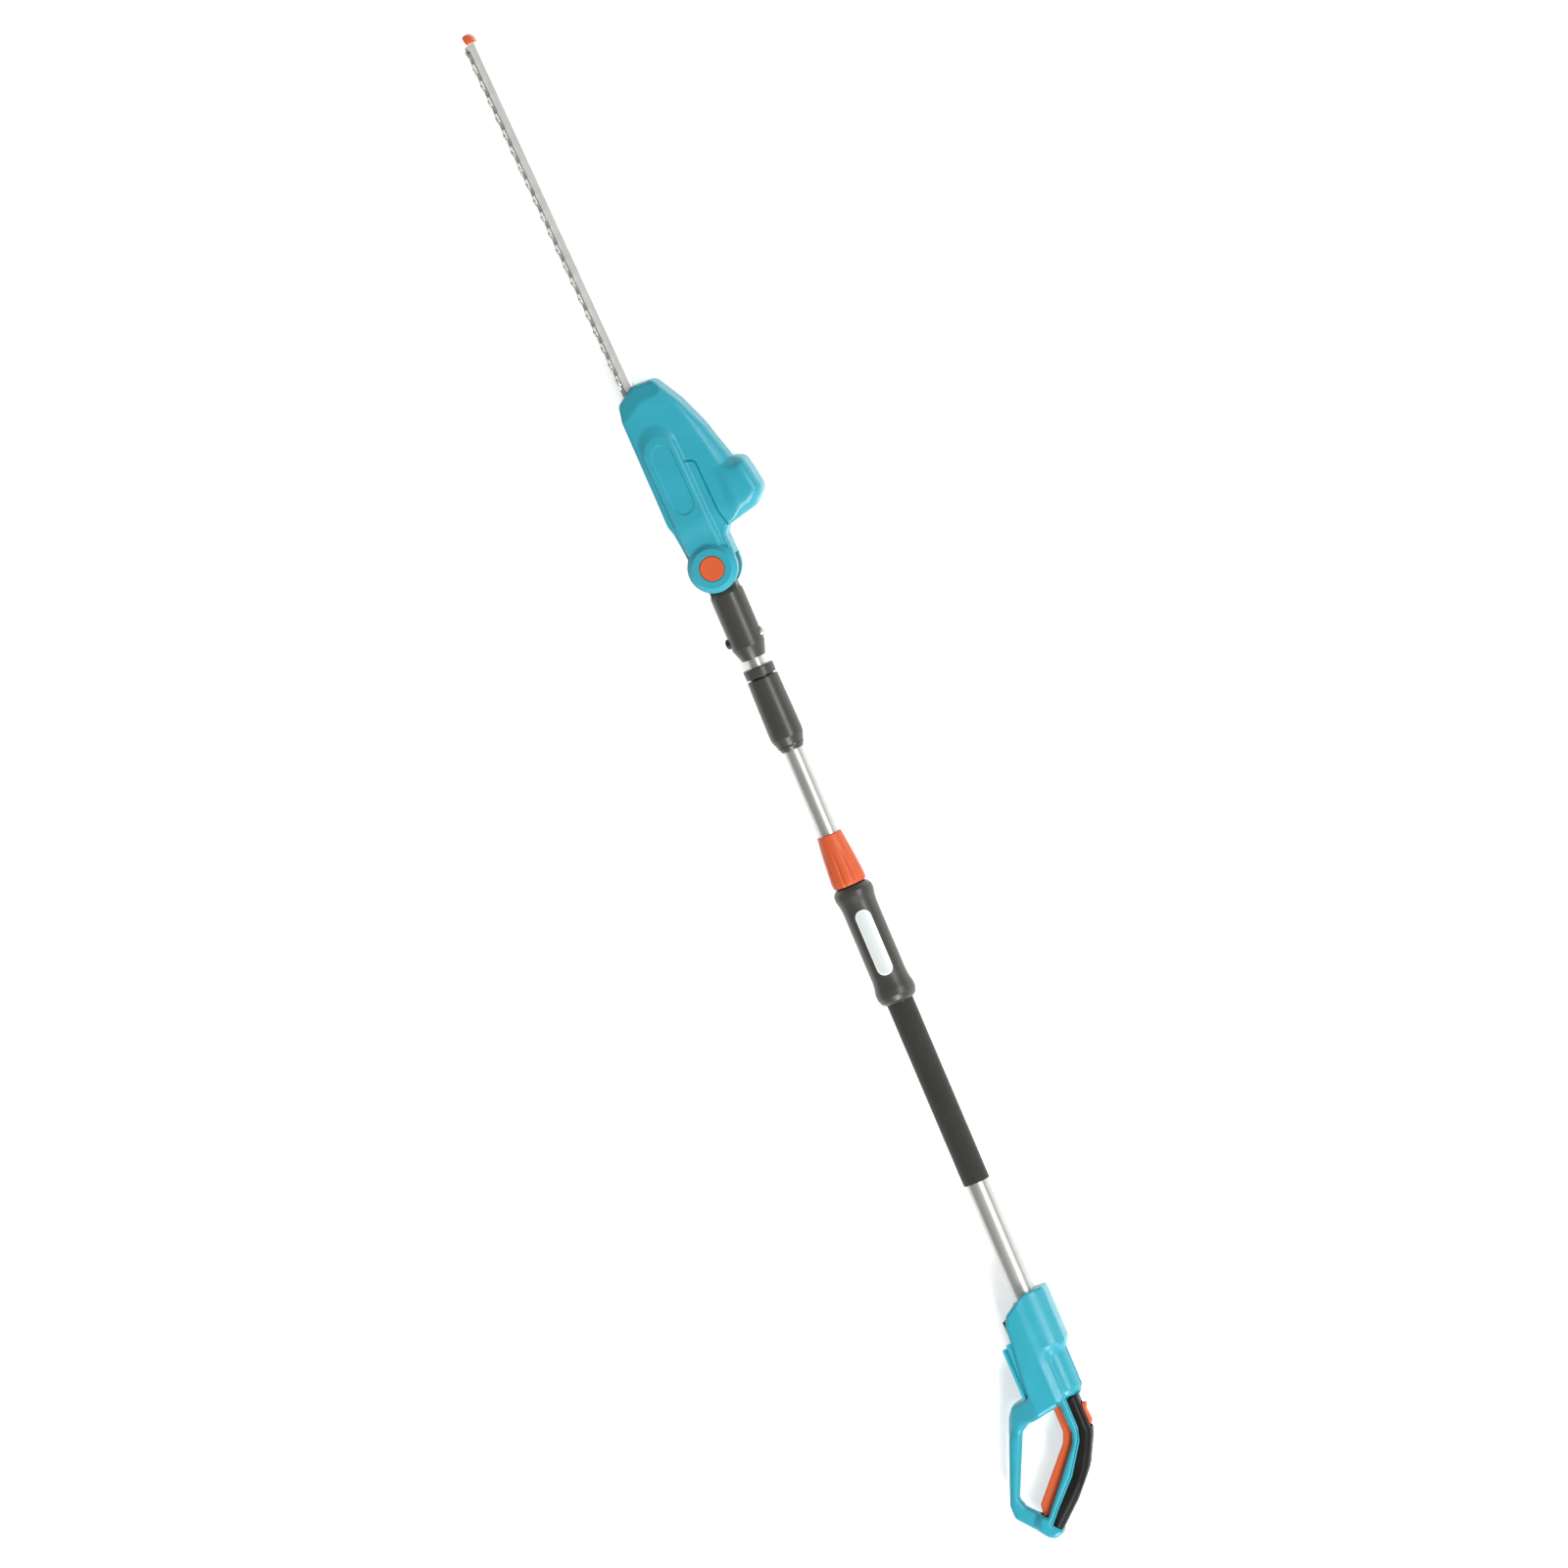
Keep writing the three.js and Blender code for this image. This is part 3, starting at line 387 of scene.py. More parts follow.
def scattered(loops, rows, creases, cell):
    """Points over flat loops, packed along their edges and along creases, and the loops' edges."""
    points = [tuple(p) for loop in loops for p in loop]
    edges = []
    first = 0
    for loop in loops:
        count = len(loop)
        edges += [(first + i, first + (i + 1) % count) for i in range(count)]
        first += count
    taken = {}
    gaps = (0.09, cell * 0.62)

    def near(p, gap):
        key = (math.floor(p[0] / gap), math.floor(p[1] / gap))
        for i in (-1, 0, 1):
            for j in (-1, 0, 1):
                for q in taken.get((gap, key[0] + i, key[1] + j), ()):
                    if math.hypot(p[0] - q[0], p[1] - q[1]) < gap:
                        return True
        return False

    def take(p):
        for gap in gaps:
            taken.setdefault((gap, math.floor(p[0] / gap), math.floor(p[1] / gap)), []).append(p)

    def offer(candidates, gap):
        for p in candidates:
            p = (float(p[0]), float(p[1]))
            if not near(p, gap):
                take(p)
                points.append(p)

    def clear(candidates, least):
        candidates = candidates[inside(candidates, loops)]
        gap = np.min([distances(candidates, loop) for loop in loops], axis=0)
        return candidates[gap > least]

    for p in points:
        take(p)
    for loop in loops:
        out = normals(loop)
        for row in rows:
            offer(clear(np.concatenate([loop + out * row, loop - out * row]), row * 0.93), gaps[0])
    for line, offsets, closed in creases:
        out = normals(line, closed)
        for offset in offsets:
            offer(clear(line + out * offset, 0.08), gaps[0])
    low, high = loops[0].min(0), loops[0].max(0)
    rise = cell * 0.866  # between the rows of a triangular grid
    grid = np.array([
        (low[0] + (i + (j % 2) / 2) * cell, low[1] + j * rise)
        for j in range(math.ceil((high[1] - low[1]) / rise))
        for i in range(math.ceil((high[0] - low[0]) / cell))
    ])
    offer(clear(grid, rows[-1] * 0.5), gaps[1])
    return points, edges


def relief(loops, height, floor, rows=EDGE_ROWS, creases=(), cell=2.3):
    """Vertices and faces of a closed shell over flat loops, between its floor and its height."""
    points, edges = scattered(loops, rows, creases, cell)
    flat, _, faces, _, _, _ = delaunay_2d_cdt([Vector(p) for p in points], edges, [], 0, 1e-5)
    flat = np.array([tuple(p) for p in flat])
    faces = np.array([face for face in faces if len(face) == 3])
    faces = faces[inside(flat[faces].mean(1), loops)]
    a, b, c = flat[faces[:, 0]], flat[faces[:, 1]], flat[faces[:, 2]]
    clockwise = np.cross(b - a, c - a) < 0
    faces[clockwise] = faces[clockwise][:, ::-1]
    top = height(flat)
    base = np.minimum(floor(flat, top), top - THINNEST)
    count = len(flat)
    vertices = [(x, y, z) for (x, y), z in zip(flat, top)] + [(x, y, z) for (x, y), z in zip(flat, base)]
    upper = [tuple(face) for face in faces.tolist()]
    seen = {}
    for face in upper:
        for i in range(3):
            seen[(face[i], face[(i + 1) % 3])] = True
    walls = [(a, a + count, b + count, b) for a, b in seen if (b, a) not in seen]
    under = [(a + count, c + count, b + count) for a, b, c in upper]
    return vertices, upper + under + walls


def mirrored(vertices, faces):
    """The same shell on the other side of the seam."""
    return [(x, y, -z) for x, y, z in vertices], [tuple(reversed(face)) for face in faces]


def joined(*parts):
    vertices, faces = [], []
    for more_vertices, more_faces in parts:
        first = len(vertices)
        vertices += list(more_vertices)
        faces += [tuple(i + first for i in face) for face in more_faces]
    return vertices, faces


def stacked(rings):
    """Vertices and faces of rings of equal count joined in order, with flat ends."""
    count = len(rings[0])
    vertices = [tuple(p) for ring in rings for p in ring]
    faces = []
    for k in range(len(rings) - 1):
        for i in range(count):
            j = (i + 1) % count
            faces.append((k * count + i, k * count + j, (k + 1) * count + j, (k + 1) * count + i))
    faces.append(tuple(reversed(range(count))))
    faces.append(tuple(range((len(rings) - 1) * count, len(rings) * count)))
    return vertices, faces


def inset(line, distance):
    """A closed counterclockwise outline moved in, with its corners kept."""
    before = line - np.roll(line, 1, axis=0)
    after = np.roll(line, -1, axis=0) - line
    before /= np.linalg.norm(before, axis=1, keepdims=True)
    after /= np.linalg.norm(after, axis=1, keepdims=True)
    left_before = np.stack([-before[:, 1], before[:, 0]], axis=1)
    left_after = np.stack([-after[:, 1], after[:, 0]], axis=1)
    middle = left_before + left_after
    middle /= np.maximum((middle * left_before).sum(1, keepdims=True), 0.35)
    return line + middle * distance


def slab(line, z0, z1, edge, cell=4.0):
    """A flat piece with rounded edges."""
    rows = [edge * share for share in (0.015, 0.07, 0.18, 0.35, 0.6, 1.0)]
    return relief(
        [line], lambda p: z1 - falloff(distances(p, line), edge),
        lambda p, top: z0 + falloff(distances(p, line), edge), rows=rows, cell=cell)


def fillets(corners, step=0.18):
    """A turned piece's profile from corners [along, radius, fillet], as points."""
    line = []
    for i, corner in enumerate(corners):
        here = np.array(corner[:2], float)
        radius = corner[2] if len(corner) > 2 else 0
        if not radius or i in (0, len(corners) - 1):
            line.append(here)
            continue
        back = np.array(corners[i - 1][:2], float) - here
        ahead = np.array(corners[i + 1][:2], float) - here
        back_length, ahead_length = np.linalg.norm(back), np.linalg.norm(ahead)
        back, ahead = back / back_length, ahead / ahead_length
        opening = math.acos(max(-1.0, min(1.0, float(back @ ahead))))
        if opening > math.pi - 0.01:
            line.append(here)
            continue
        reach = min(radius / math.tan(opening / 2), 0.48 * back_length, 0.48 * ahead_length)
        radius = reach * math.tan(opening / 2)
        middle = here + (back + ahead) / np.linalg.norm(back + ahead) * radius / math.sin(opening / 2)
        first, last = here + back * reach, here + ahead * reach
        begin = math.atan2(*(first - middle)[::-1])
        turn = (math.atan2(*(last - middle)[::-1]) - begin + math.pi) % (2 * math.pi) - math.pi
        pieces = max(1, math.ceil(abs(turn) / step))
        for k in range(pieces + 1):
            angle = begin + turn * k / pieces
            line.append(middle + radius * np.array([math.cos(angle), math.sin(angle)]))
    return line


def lathe(corners, axis="x", at=(0, 0, 0), count=96, bore=None, shape=None):
    """A turned piece about an axis. A bore is the radius of a straight hole right through."""
    profile = fillets(corners)
    if bore:
        profile = profile + [np.array([corners[-1][0], bore]), np.array([corners[0][0], bore])]
    vertices, faces, rings = [], [], []
    frames = {"x": ((1, 0, 0), (0, 1, 0), (0, 0, 1)), "y": ((0, 1, 0), (0, 0, 1), (1, 0, 0)),
              "z": ((0, 0, 1), (1, 0, 0), (0, 1, 0))}
    along, side, up = (np.array(v, float) for v in frames[axis])
    for distance, radius in profile:
        if radius < 1e-6:
            rings.append([len(vertices)])
            vertices.append(tuple(np.array(at) + along * distance))
            continue
        rings.append(list(range(len(vertices), len(vertices) + count)))
        for k in range(count):
            angle = 2 * math.pi * k / count
            r = shape(distance, radius, angle) if shape else radius
            p = np.array(at) + along * distance + side * (r * math.cos(angle)) + up * (r * math.sin(angle))
            vertices.append(tuple(p))
    pairs = list(zip(rings, rings[1:]))
    if bore:
        pairs.append((rings[-1], rings[0]))
    for a, b in pairs:
        for k in range(count):
            j = (k + 1) % count
            if len(a) == 1:
                faces.append((a[0], b[j], b[k]))
            elif len(b) == 1:
                faces.append((a[k], a[j], b[0]))
            else:
                faces.append((a[k], a[j], b[j], b[k]))
    return vertices, faces


# ---------- head casing ----------
# Drawn about the hinge, x along the blade.

BORE_R = 15.4
EAR_R = 30.0
DISC_R = 23.5
FORK_HALF = 14.3
SEAM = 0.15  # half the gap between two casing halves
WALL = 2.6
CASING_HALF = 29.9
FLAT = 25.2  # the casing's side, beside its raised middle
DISC_TOP = 29.7
RECESS_DEPTH = 1.3
GROOVE_HALF, GROOVE_DEPTH = 1.25, 2.4
SCREW_SEAT_R, SCREW_SEAT = 4.4, 24.6


def arc(x, y, radius, start_angle, end_angle, count):
    turn = np.radians(np.linspace(start_angle, end_angle, count))
    return [[x + radius * math.cos(t), y + radius * math.sin(t)] for t in turn]


HEAD_LINE = rounded(
    [[40, 25.2], [54, 26, 8], [66, 28.8, 8], [200, 26.6, 12], [220, 23.5, 9], [235, 0, 12], [233, -27, 10],
     [198, -46, 40], [160, -60.5, 60], [112, -73, 4], [106, -88, 11], [62, -94.5, 14], [46, -77, 9],
     [38, -37, 5], [30, -31, 2],
     [3, -31, 1.5], *arc(0, 0, EAR_R, -86, -307, 70)][::-1])
NOSE_LINE = resampled(np.array([[220, 25], [234, 0], [234, -20]], float), 1.5, False)
LOWER_LINE = resampled(np.array([[230, -29], [198, -46], [160, -60], [112, -73]], float), 1.5, False)
GROOVE_CORNERS = [[129, -24], [125.5, -34.4, 6.5], [60, -34.8, 30], [41, -38.5]]
GROOVE = resampled(np.array(fillets(GROOVE_CORNERS, 0.1)), 0.9, False)
LABEL = (83.3, 145.7, -1.7, 13.2)  # the blank recess: ends of its middle line, y and half width
HEAD_SCREWS = [(205, -18), (145, -50), (55, -8)]


def capsule(x, y, start_x, end_x, middle, half):
    """How far outside a slot's outline each point is."""
    return np.hypot(x - np.clip(x, start_x, end_x), y - middle) - half


def head_height(side):
    def height(p):
        x, y = p[:, 0], p[:, 1]
        edge = distances(p, HEAD_LINE)
        nose = distances(p, NOSE_LINE, False)
        lower = distances(p, LOWER_LINE, False)
        neck = 20.5 + 4.7 * step_up((x - 30) / 34)
        flat = np.minimum(neck, FLAT - 0.40 * np.clip(20 - nose, 0, None))
        fold = np.clip(np.interp(x, [110, 154, 183, 215], [17, 13.5, 9.5, 7]) - lower, 0, None)
        flat = np.minimum(flat, FLAT - np.where(fold < 6.7, 0.0445 * fold**2, 2 + 0.6 * (fold - 6.7)))
        outer = capsule(x, y, -60, 161, -2, 23)
        inner = capsule(x, y, -60, 149, -0.7, 19)
        rise = np.clip(-outer / (inner - outer), 0, 1)
        flat = flat + (CASING_HALF - FLAT) * (0.8 * rise + 0.2 * step_up(rise))
        bulge = 3.8 * step_up((-46 - y) / 16) * np.clip(1 - ((x - 77) / 31) ** 2, 0, 1)
        flat = flat + bulge
        radius = 4.5 + 8.0 * step_up((-44 - y) / 22) * step_up((118 - x) / 14)
        radius = np.where((x < 45) & (y < 0) & (y > -38), 3.2, radius)
        top = flat - falloff(edge, radius)
        depth = -capsule(x, y, *LABEL)
        top = top - RECESS_DEPTH * step_up(depth / 1.3)
        beside = distances(p, GROOVE, False)
        top = top - GROOVE_DEPTH * np.clip(1 - (beside / GROOVE_HALF) ** 2, 0, 1)
        r = np.hypot(x, y)
        disc = DISC_TOP - 0.9 * np.clip(r - DISC_R, 0, None) - falloff(np.abs(r - BORE_R), 0.8)
        top = np.where(r < EAR_R + 3, higher(np.where(r < EAR_R + 0.6, disc, 0), top, 0.8), top)
        if side < 0:
            for sx, sy in HEAD_SCREWS:
                seat = np.minimum(top, SCREW_SEAT)
                top = np.where(np.hypot(x - sx, y - sy) < SCREW_SEAT_R, seat, top)
        return np.minimum(top, CASING_HALF)
    return height


def head_floor(p, top):
    x, y = p[:, 0], p[:, 1]
    edge = distances(p, HEAD_LINE)
    r = np.hypot(x, y)
    hollow = (edge > 2.8) & ((x > 48) | (r < 29))
    base = np.where(hollow, np.maximum(top - WALL, SEAM), SEAM)
    fork = (r < 29.3) | ((x < 5) & (y < 1)) | ((x < 20) & (y >= 0))
    base = np.where(fork, FORK_HALF, base)
    mouth = (x > 200) & (y > -2.2) & (y < 16.8)
    return np.where(mouth, np.maximum(base, 16), base)


fork_edge = np.array(arc(0, 0, 29.3, -100, 100, 120))
mouth_lower = resampled(np.array([[200, -2.2], [236, -2.2]], float), 1.2, False)
mouth_upper = resampled(np.array([[200, 16.8], [236, 16.8]], float), 1.2, False)
STEP = (-0.1, 0.1)
head_creases = [
    (GROOVE, (-1.3, -0.95, -0.5, 0.0, 0.5, 0.95, 1.3), False),
    (circle(0, 0, DISC_R), (0.0, 1.2, 2.4, 3.6, 4.8), True),
    (circle(0, 0, BORE_R), (0.5, 0.9, 3.0), True),
    (np.array(arc(0, 0, EAR_R + 0.6, -60, 60, 90)), (-0.15, 0.15, 1.2), False),
    (rounded([[83.3, -14.9], [158.9, -14.9, 13.2], [158.9, 11.5, 13.2], [70.1, 11.5, 13.2],
              [70.1, -14.9, 13.2]]), (-0.4, 0.2, 0.7, 1.3, 1.8, -1.0), True),
    (fork_edge, STEP, False), (mouth_lower, STEP, False), (mouth_upper, STEP, False),
]
for screw in HEAD_SCREWS:
    head_creases.append((circle(*screw, SCREW_SEAT_R, 28), (-0.12, 0.12), True))
arch_inner = np.array([[20 + k * 1.6, -19.7] for k in range(81)] + arc(149, -0.7, 19, -90, 90, 46)
                      + [[148 - k * 1.6, 18.3] for k in range(81)])
arch_outer = np.array([[30 + k * 1.6, -25.0] for k in range(82)] + arc(161, -2, 23, -90, 90, 56)
                      + [[160 - k * 1.6, 21.0] for k in range(82)])
head_creases += [(arch_inner, (-0.5, 0.5), False), (arch_outer, (-0.5, 0.5), False)]

BORE_LOOP = circle(0, 0, BORE_R)
for name, side in [("left", 1), ("right", -1)]:
    shell = relief([HEAD_LINE, BORE_LOOP], head_height(side), head_floor, creases=head_creases, cell=2.2)
    if side < 0:
        shell = mirrored(*shell)
    finish_piece(f"head_casing_{name}", *shell, "teal_shell", "head", replaces=[f"head_shell_{name}"],
                 place=HEAD)

# ---------- handle casing ----------

CASING_LINE = rounded(
    [[284, -26.6, 3], [216.8, -26.6, 3], [205.5, -22, 3], [158, -22, 3], [149, -17, 2], [148.4, 0.9, 1],
     [112, 0.9, 6], [96.2, 5.4, 14], [60.3, 30.4, 14], [30.2, 60.4, 6], [14.2, 75.2, 1], [4.8, 66.6, 1],
     [1.2, 66.4, 2], [-2.3, 78, 5], [1.5, 86, 5], [37, 115.7, 9], [54, 115.7, 12], [151, 76, 10],
     [164, 66, 8], [167.5, 42, 4], [256, 32.4, 8], [268, 27, 8], [277, 13, 9], [284, -2, 7]][::-1])
HOLE_LINE = rounded([
    [144.5, 12, 0.6], [141.5, 30, 30], [135.5, 57, 8], [130, 66.6, 6], [58, 101.4, 8], [46, 97.6, 6],
    [24, 78, 2.5], [60, 46, 10], [97, 15, 16], [108, 11, 8]])
RUBBER_EDGE = resampled(np.array([
    [149, 0.6], [112, 0.6], [104.5, 1.6], [96, 5], [60, 30], [30, 60], [14, 74.8], [5, 66.4]],
    float), 1.2, False)
HANDLE_SCREWS = [(271, 18, 22.3), (158, 40, 22.3), (49, 103, 5.3)]  # x, y and depth from the seam
HANDLE_SEAT_R = 4.3
TUBE_SEAT_R = 14.35
SWING_HALF = 7.4  # half the slot that the trigger swings in


def handle_height(side):
    def height(p):
        x, y = p[:, 0], p[:, 1]
        edge = distances(p, CASING_LINE)
        hole = distances(p, HOLE_LINE)
        rubber = distances(p, RUBBER_EDGE, False)
        radius = np.interp(x, [149, 158, 204.5, 216.5, 300], [17.5, 21, 21, 27, 27])
        barrel = np.sqrt(np.maximum(radius**2 - y**2, 0))
        slope = np.interp(x, [196, 214], [0.45, 0.26])
        drop = np.interp(x, [196, 214], [1.9, 0.26])
        flank = CASING_HALF - slope * np.clip(11.3 - y, 0, 8.9) - drop * np.clip(2.4 - y, 0, None)
        flank = np.minimum(flank, CASING_HALF - 0.60 * np.clip(y - 38, 0, None))
        housing = np.minimum(higher(barrel, flank, 1.2), CASING_HALF)
        low = 9 + 7 * step_up((25 - rubber) / 12)
        start_x = np.interp(y, [12, 14, 45, 60, 75], [149.5, 139, 134, 129, 124])
        width = np.interp(y, [40, 60], [0.25, 16])
        top = low + (housing - low) * step_up((x - start_x) / width)
        outer_radius = np.where(x > 152, 4.5, 6.0)
        outer_radius = np.where((x > 149) & (y < -8), 0.7, outer_radius)
        outer_radius = np.where((x > 276) & (y < 8), 2.2, outer_radius)
        outer_radius = np.where((x < 149) & (rubber < 2.5), 1.1, outer_radius)
        hole_radius = np.where(x > 137, 6.0, np.where(rubber < 20, 4.2, 6.0))
        top = top - np.maximum(falloff(edge, outer_radius), falloff(hole, hole_radius))
        if side < 0:
            for sx, sy, depth in HANDLE_SCREWS:
                top = np.where(np.hypot(x - sx, y - sy) < HANDLE_SEAT_R, np.minimum(top, depth), top)
        return np.maximum(top, 1.2)
    return height


SWING = np.array([
    [172, -2], [172, 25], [150, 25], [26, 88], [17, 80], [15, 72], [60, 26], [96, 2], [110, -2]], float)


def handle_floor(p, top):
    x, y = p[:, 0], p[:, 1]
    edge = np.minimum(distances(p, CASING_LINE), distances(p, HOLE_LINE))
    base = np.where((edge > 2.8) & (x > 151), np.maximum(top - WALL, SEAM), SEAM)
    base = np.where((y > 27.8) & (x > 164.5) & (x < 264.5), SEAM, base)
    base = np.where((y > 30.3) & (x > 167) & (x < 262), 26.4, base)
    bore = np.sqrt(np.maximum(TUBE_SEAT_R**2 - y**2, 0))
    base = np.where(x > 217, np.maximum(base, bore), base)
    return np.where(inside(p, [SWING]) & (x < 166), np.maximum(base, SWING_HALF), base)


def straight(*corners):
    return resampled(np.array(corners, float), 1.2, False)


handle_creases = [
    (straight([149.5, 0.5], [149.5, 12]), (-0.2, 0.2), False),
    (straight([204.5, -26], [204.5, 14]), (-0.6, 0.6), False),
    (straight([216.5, -26], [216.5, 14]), (-0.6, 0.6), False),
    (straight([158, 11.3], [280, 11.3]), (-0.5, 0.5), False),
    (straight([152, 2.5], [200, 2.5]), (-1.0, 0.0, 1.0), False),
    (straight([167, 30.3], [262, 30.3]), STEP, False),
    (straight([164.5, 27.8], [264.5, 27.8]), STEP, False),
    (straight([167, 30], [167, 41]), STEP, False),
    (straight([262, 30], [262, 33]), STEP, False),
    (straight([217, 14.3], [285, 14.3]), STEP, False),
    (straight([217, -14.3], [285, -14.3]), STEP, False),
    (straight([217, -14], [217, 14]), STEP, False),
]
for sx, sy, _ in HANDLE_SCREWS:
    handle_creases.append((circle(sx, sy, HANDLE_SEAT_R, 28), (-0.12, 0.12), True))
for name, side in [("left", 1), ("right", -1)]:
    shell = relief(
        [CASING_LINE, HOLE_LINE], handle_height(side), handle_floor, creases=handle_creases, cell=2.2)
    if side < 0:
        shell = mirrored(*shell)
    finish_piece(f"handle_casing_{name}", *shell, "teal_shell", "handle",
                 replaces=[f"handle_shell_{name}"])

# ---------- rubber grip, trigger and lock ----------

BACK_LINE = resampled(np.array([[5, 66], [30, 37], [45, 21.5], [62, 8], [78, -1.5], [96, -10.5], [104, -13],
                                [108, -12.4], [147, -12.6]], float), 1.2, False)
RUBBER_LOOP = rounded([
    [147.6, 0.5, 0.5], [112, 0.5, 6], [96, 5, 14], [60, 30, 14], [30, 60, 6], [14, 74.5, 1], [5, 66, 1.5],
    [30, 37, 40], [62, 8, 50], [96, -10.5, 12], [104, -13.2, 3], [108, -12.4, 2], [147.6, -12.6, 1]])


RUBBER_HALF = 16.4
LEVER_HALF = 6.6  # half the trigger's and the lock slider's thickness


def rubber_height(p):
    x = p[:, 0]
    back = distances(p, BACK_LINE, False)
    edge = distances(p, RUBBER_LOOP)
    return RUBBER_HALF - np.maximum(falloff(back, 9.5), falloff(edge, np.where(x < 20, 2.5, 0.9)))


def rubber_floor(p, top):
    x, y = p[:, 0], p[:, 1]
    slot = (x > 105) & (x < 138.5) & (y < 4)
    return np.where(slot, np.minimum(7.2, top - 0.8), 0.03)


grip_creases = [(straight([x, -12], [x, 2]), STEP, False) for x in (105, 138.5)]
grip = relief([RUBBER_LOOP], rubber_height, rubber_floor, creases=grip_creases, cell=2.0)
finish_piece("grip_overmould", *joined(grip, mirrored(*grip)), "soft_grip", "handle",
             replaces=["rubber_grip"])

TRIGGER_LINE = rounded([
    [25.2, 75.4, 2], [58, 44, 14], [98, 9, 16], [112, 5, 8], [166.8, 5], [166.8, 21.4], [112, 21.4, 14],
    [100, 27, 14], [42, 80.4, 5], [27, 82.4, 3]])
finish_piece("trigger_lever", *slab(TRIGGER_LINE, -LEVER_HALF, LEVER_HALF, 2.0), "orange_trim", "trigger",
             replaces=["trigger"])

LOCK_LINE = rounded([
    [110, -3.2, 0.8], [109.6, -9, 1], [109.6, -14.4, 1.5], [113, -16.3, 2], [128, -15.2, 3], [133, -17.9, 2],
    [136, -17.2, 1.5], [136, -9, 1], [134, -3.2, 0.8]], step=0.8)
finish_piece("lock_slider", *slab(LOCK_LINE, -LEVER_HALF, LEVER_HALF, 1.4), "orange_trim", "lock_button",
             replaces=["lock_button"])


# ---------- tilt buttons ----------

def button(side):
    """A tilt button: its hub inside and its dished face outside."""
    corners = [[8, 7.6], [8, 10.4, 0.6], [15, 10.4], [15, 15], [28.6, 15, 0.2], [29.9, 14.0, 1.0],
               [29.5, 11, 3], [29.4, 0]]
    hub_end = [[8, 0], *corners[:2]]
    whole = joined(lathe(corners, axis="z", count=72), lathe(hub_end, axis="z", count=72))
    return whole if side > 0 else mirrored(*whole)


for name, side in [("left", 1), ("right", -1)]:
    finish_piece(f"tilt_knob_{name}", *button(side), "orange_trim", f"tilt_button_{name}",
                 replaces=[f"tilt_button_{name}"], place=HEAD)

# ---------- blade ----------

BAR_SECTION = rounded([[-1, -10, 1.2], [9.1, -10, 0.7], [9.1, 10, 0.7], [-1, 10, 1.2], [-1, 6, 0.4],
                       [0, 6, 0.4], [0, -6, 0.4], [-1, -6, 0.4]], step=1.5)
BAR_ENDS = [(150, 0.3), (150.3, 0), (681.8, 0), (682, 0.2)]  # x, and how far the section is drawn in
bar = stacked([[(x, y, z) for y, z in inset(BAR_SECTION, cut)] for x, cut in BAR_ENDS])
finish_piece("blade_bar", *bar, RAIL_METAL, "head", slot="tube_aluminium", replaces=["guide_bar"], place=HEAD)

TOOTH_PITCH, TEETH, LAST_TIP = 21.3, 21, 678
TIP_Z, COMB_HALF, SHIFT = 23, 11.5, 2.25
CRANK_X, THROW = 103.5, 5.3
SLOT_X = [262, 390, 518, 646]
GROUND_FROM = 240  # the edges inside the head have no ground bevel


def comb(y0, y1, tips, end, shift, outward):
    """A stamped comb with hooked teeth down both edges, ground to a bevel on its outer face."""
    upper = [[CRANK_X - 24, 8], [CRANK_X - 20, 17], [CRANK_X + 20, 17], [CRANK_X + 28, COMB_HALF]]
    for tip in tips:
        upper += [[tip - 13, COMB_HALF], [tip - 8.5, COMB_HALF + 2.6], [tip - 3, TIP_Z, 0.4],
                  [tip - 0.6, TIP_Z, 0.4], [tip + 2.2, COMB_HALF]]
    upper += [[end + 0.5, COMB_HALF, 2], [end + 3, 5, 2]]
    line = rounded(upper + [[x, -z, *radius] for x, z, *radius in reversed(upper)], step=4.0)
    reach = 2 * THROW + 7.2
    holes = [rounded([[CRANK_X - reach, -12.4, 12.4], [CRANK_X + reach, -12.4, 12.4],
                      [CRANK_X + reach, 12.4, 12.4], [CRANK_X - reach, 12.4, 12.4]], step=3)]
    holes += [rounded([[x - 8.6, -3, 3], [x + 8.6, -3, 3], [x + 8.6, 3, 3], [x - 8.6, 3, 3]], step=3)
              for x in SLOT_X]
    thick = y1 - y0

    def height(p):
        ground = np.clip(1 - distances(p, line) / 1.5, 0, 1) * (p[:, 0] > GROUND_FROM)
        return thick - 0.75 * thick * ground

    vertices, faces = relief([line, *holes], height, lambda p, top: 0 * top, rows=(1.5, 1.9), cell=7.0)
    base = y0 if outward > 0 else y1
    placed = [(x + shift, base + outward * h, z) for x, z, h in vertices]
    if outward > 0:
        faces = [tuple(reversed(face)) for face in faces]
    return placed, faces


tips = [LAST_TIP - (TEETH - 1 - i) * TOOTH_PITCH for i in range(TEETH)]
upper_comb = comb(9.4, 11.4, tips[:-1], LAST_TIP - 8, SHIFT, -1)
lower_comb = comb(11.8, 13.8, tips, LAST_TIP + 2.2, -SHIFT, 1)
for name, shape in [("upper", upper_comb), ("lower", lower_comb)]:
    finish_piece(f"comb_{name}", *shape, "blade_steel", f"{name}_comb", replaces=[f"{name}_comb"],
                 place=HEAD, sharp=18)

GUARD_LINE = rounded(
    [[682.4, -1.3, 0.5], [690, 0.2, 4], [694.6, 5, 3.5], [693, 11.4, 3], [682.4, 9.8, 0.5]], step=0.7)
finish_piece("tip_cap", *slab(GUARD_LINE, -11.5, 11.5, 2.6), "orange_trim", "head", replaces=["tip_guard"],
             place=HEAD)


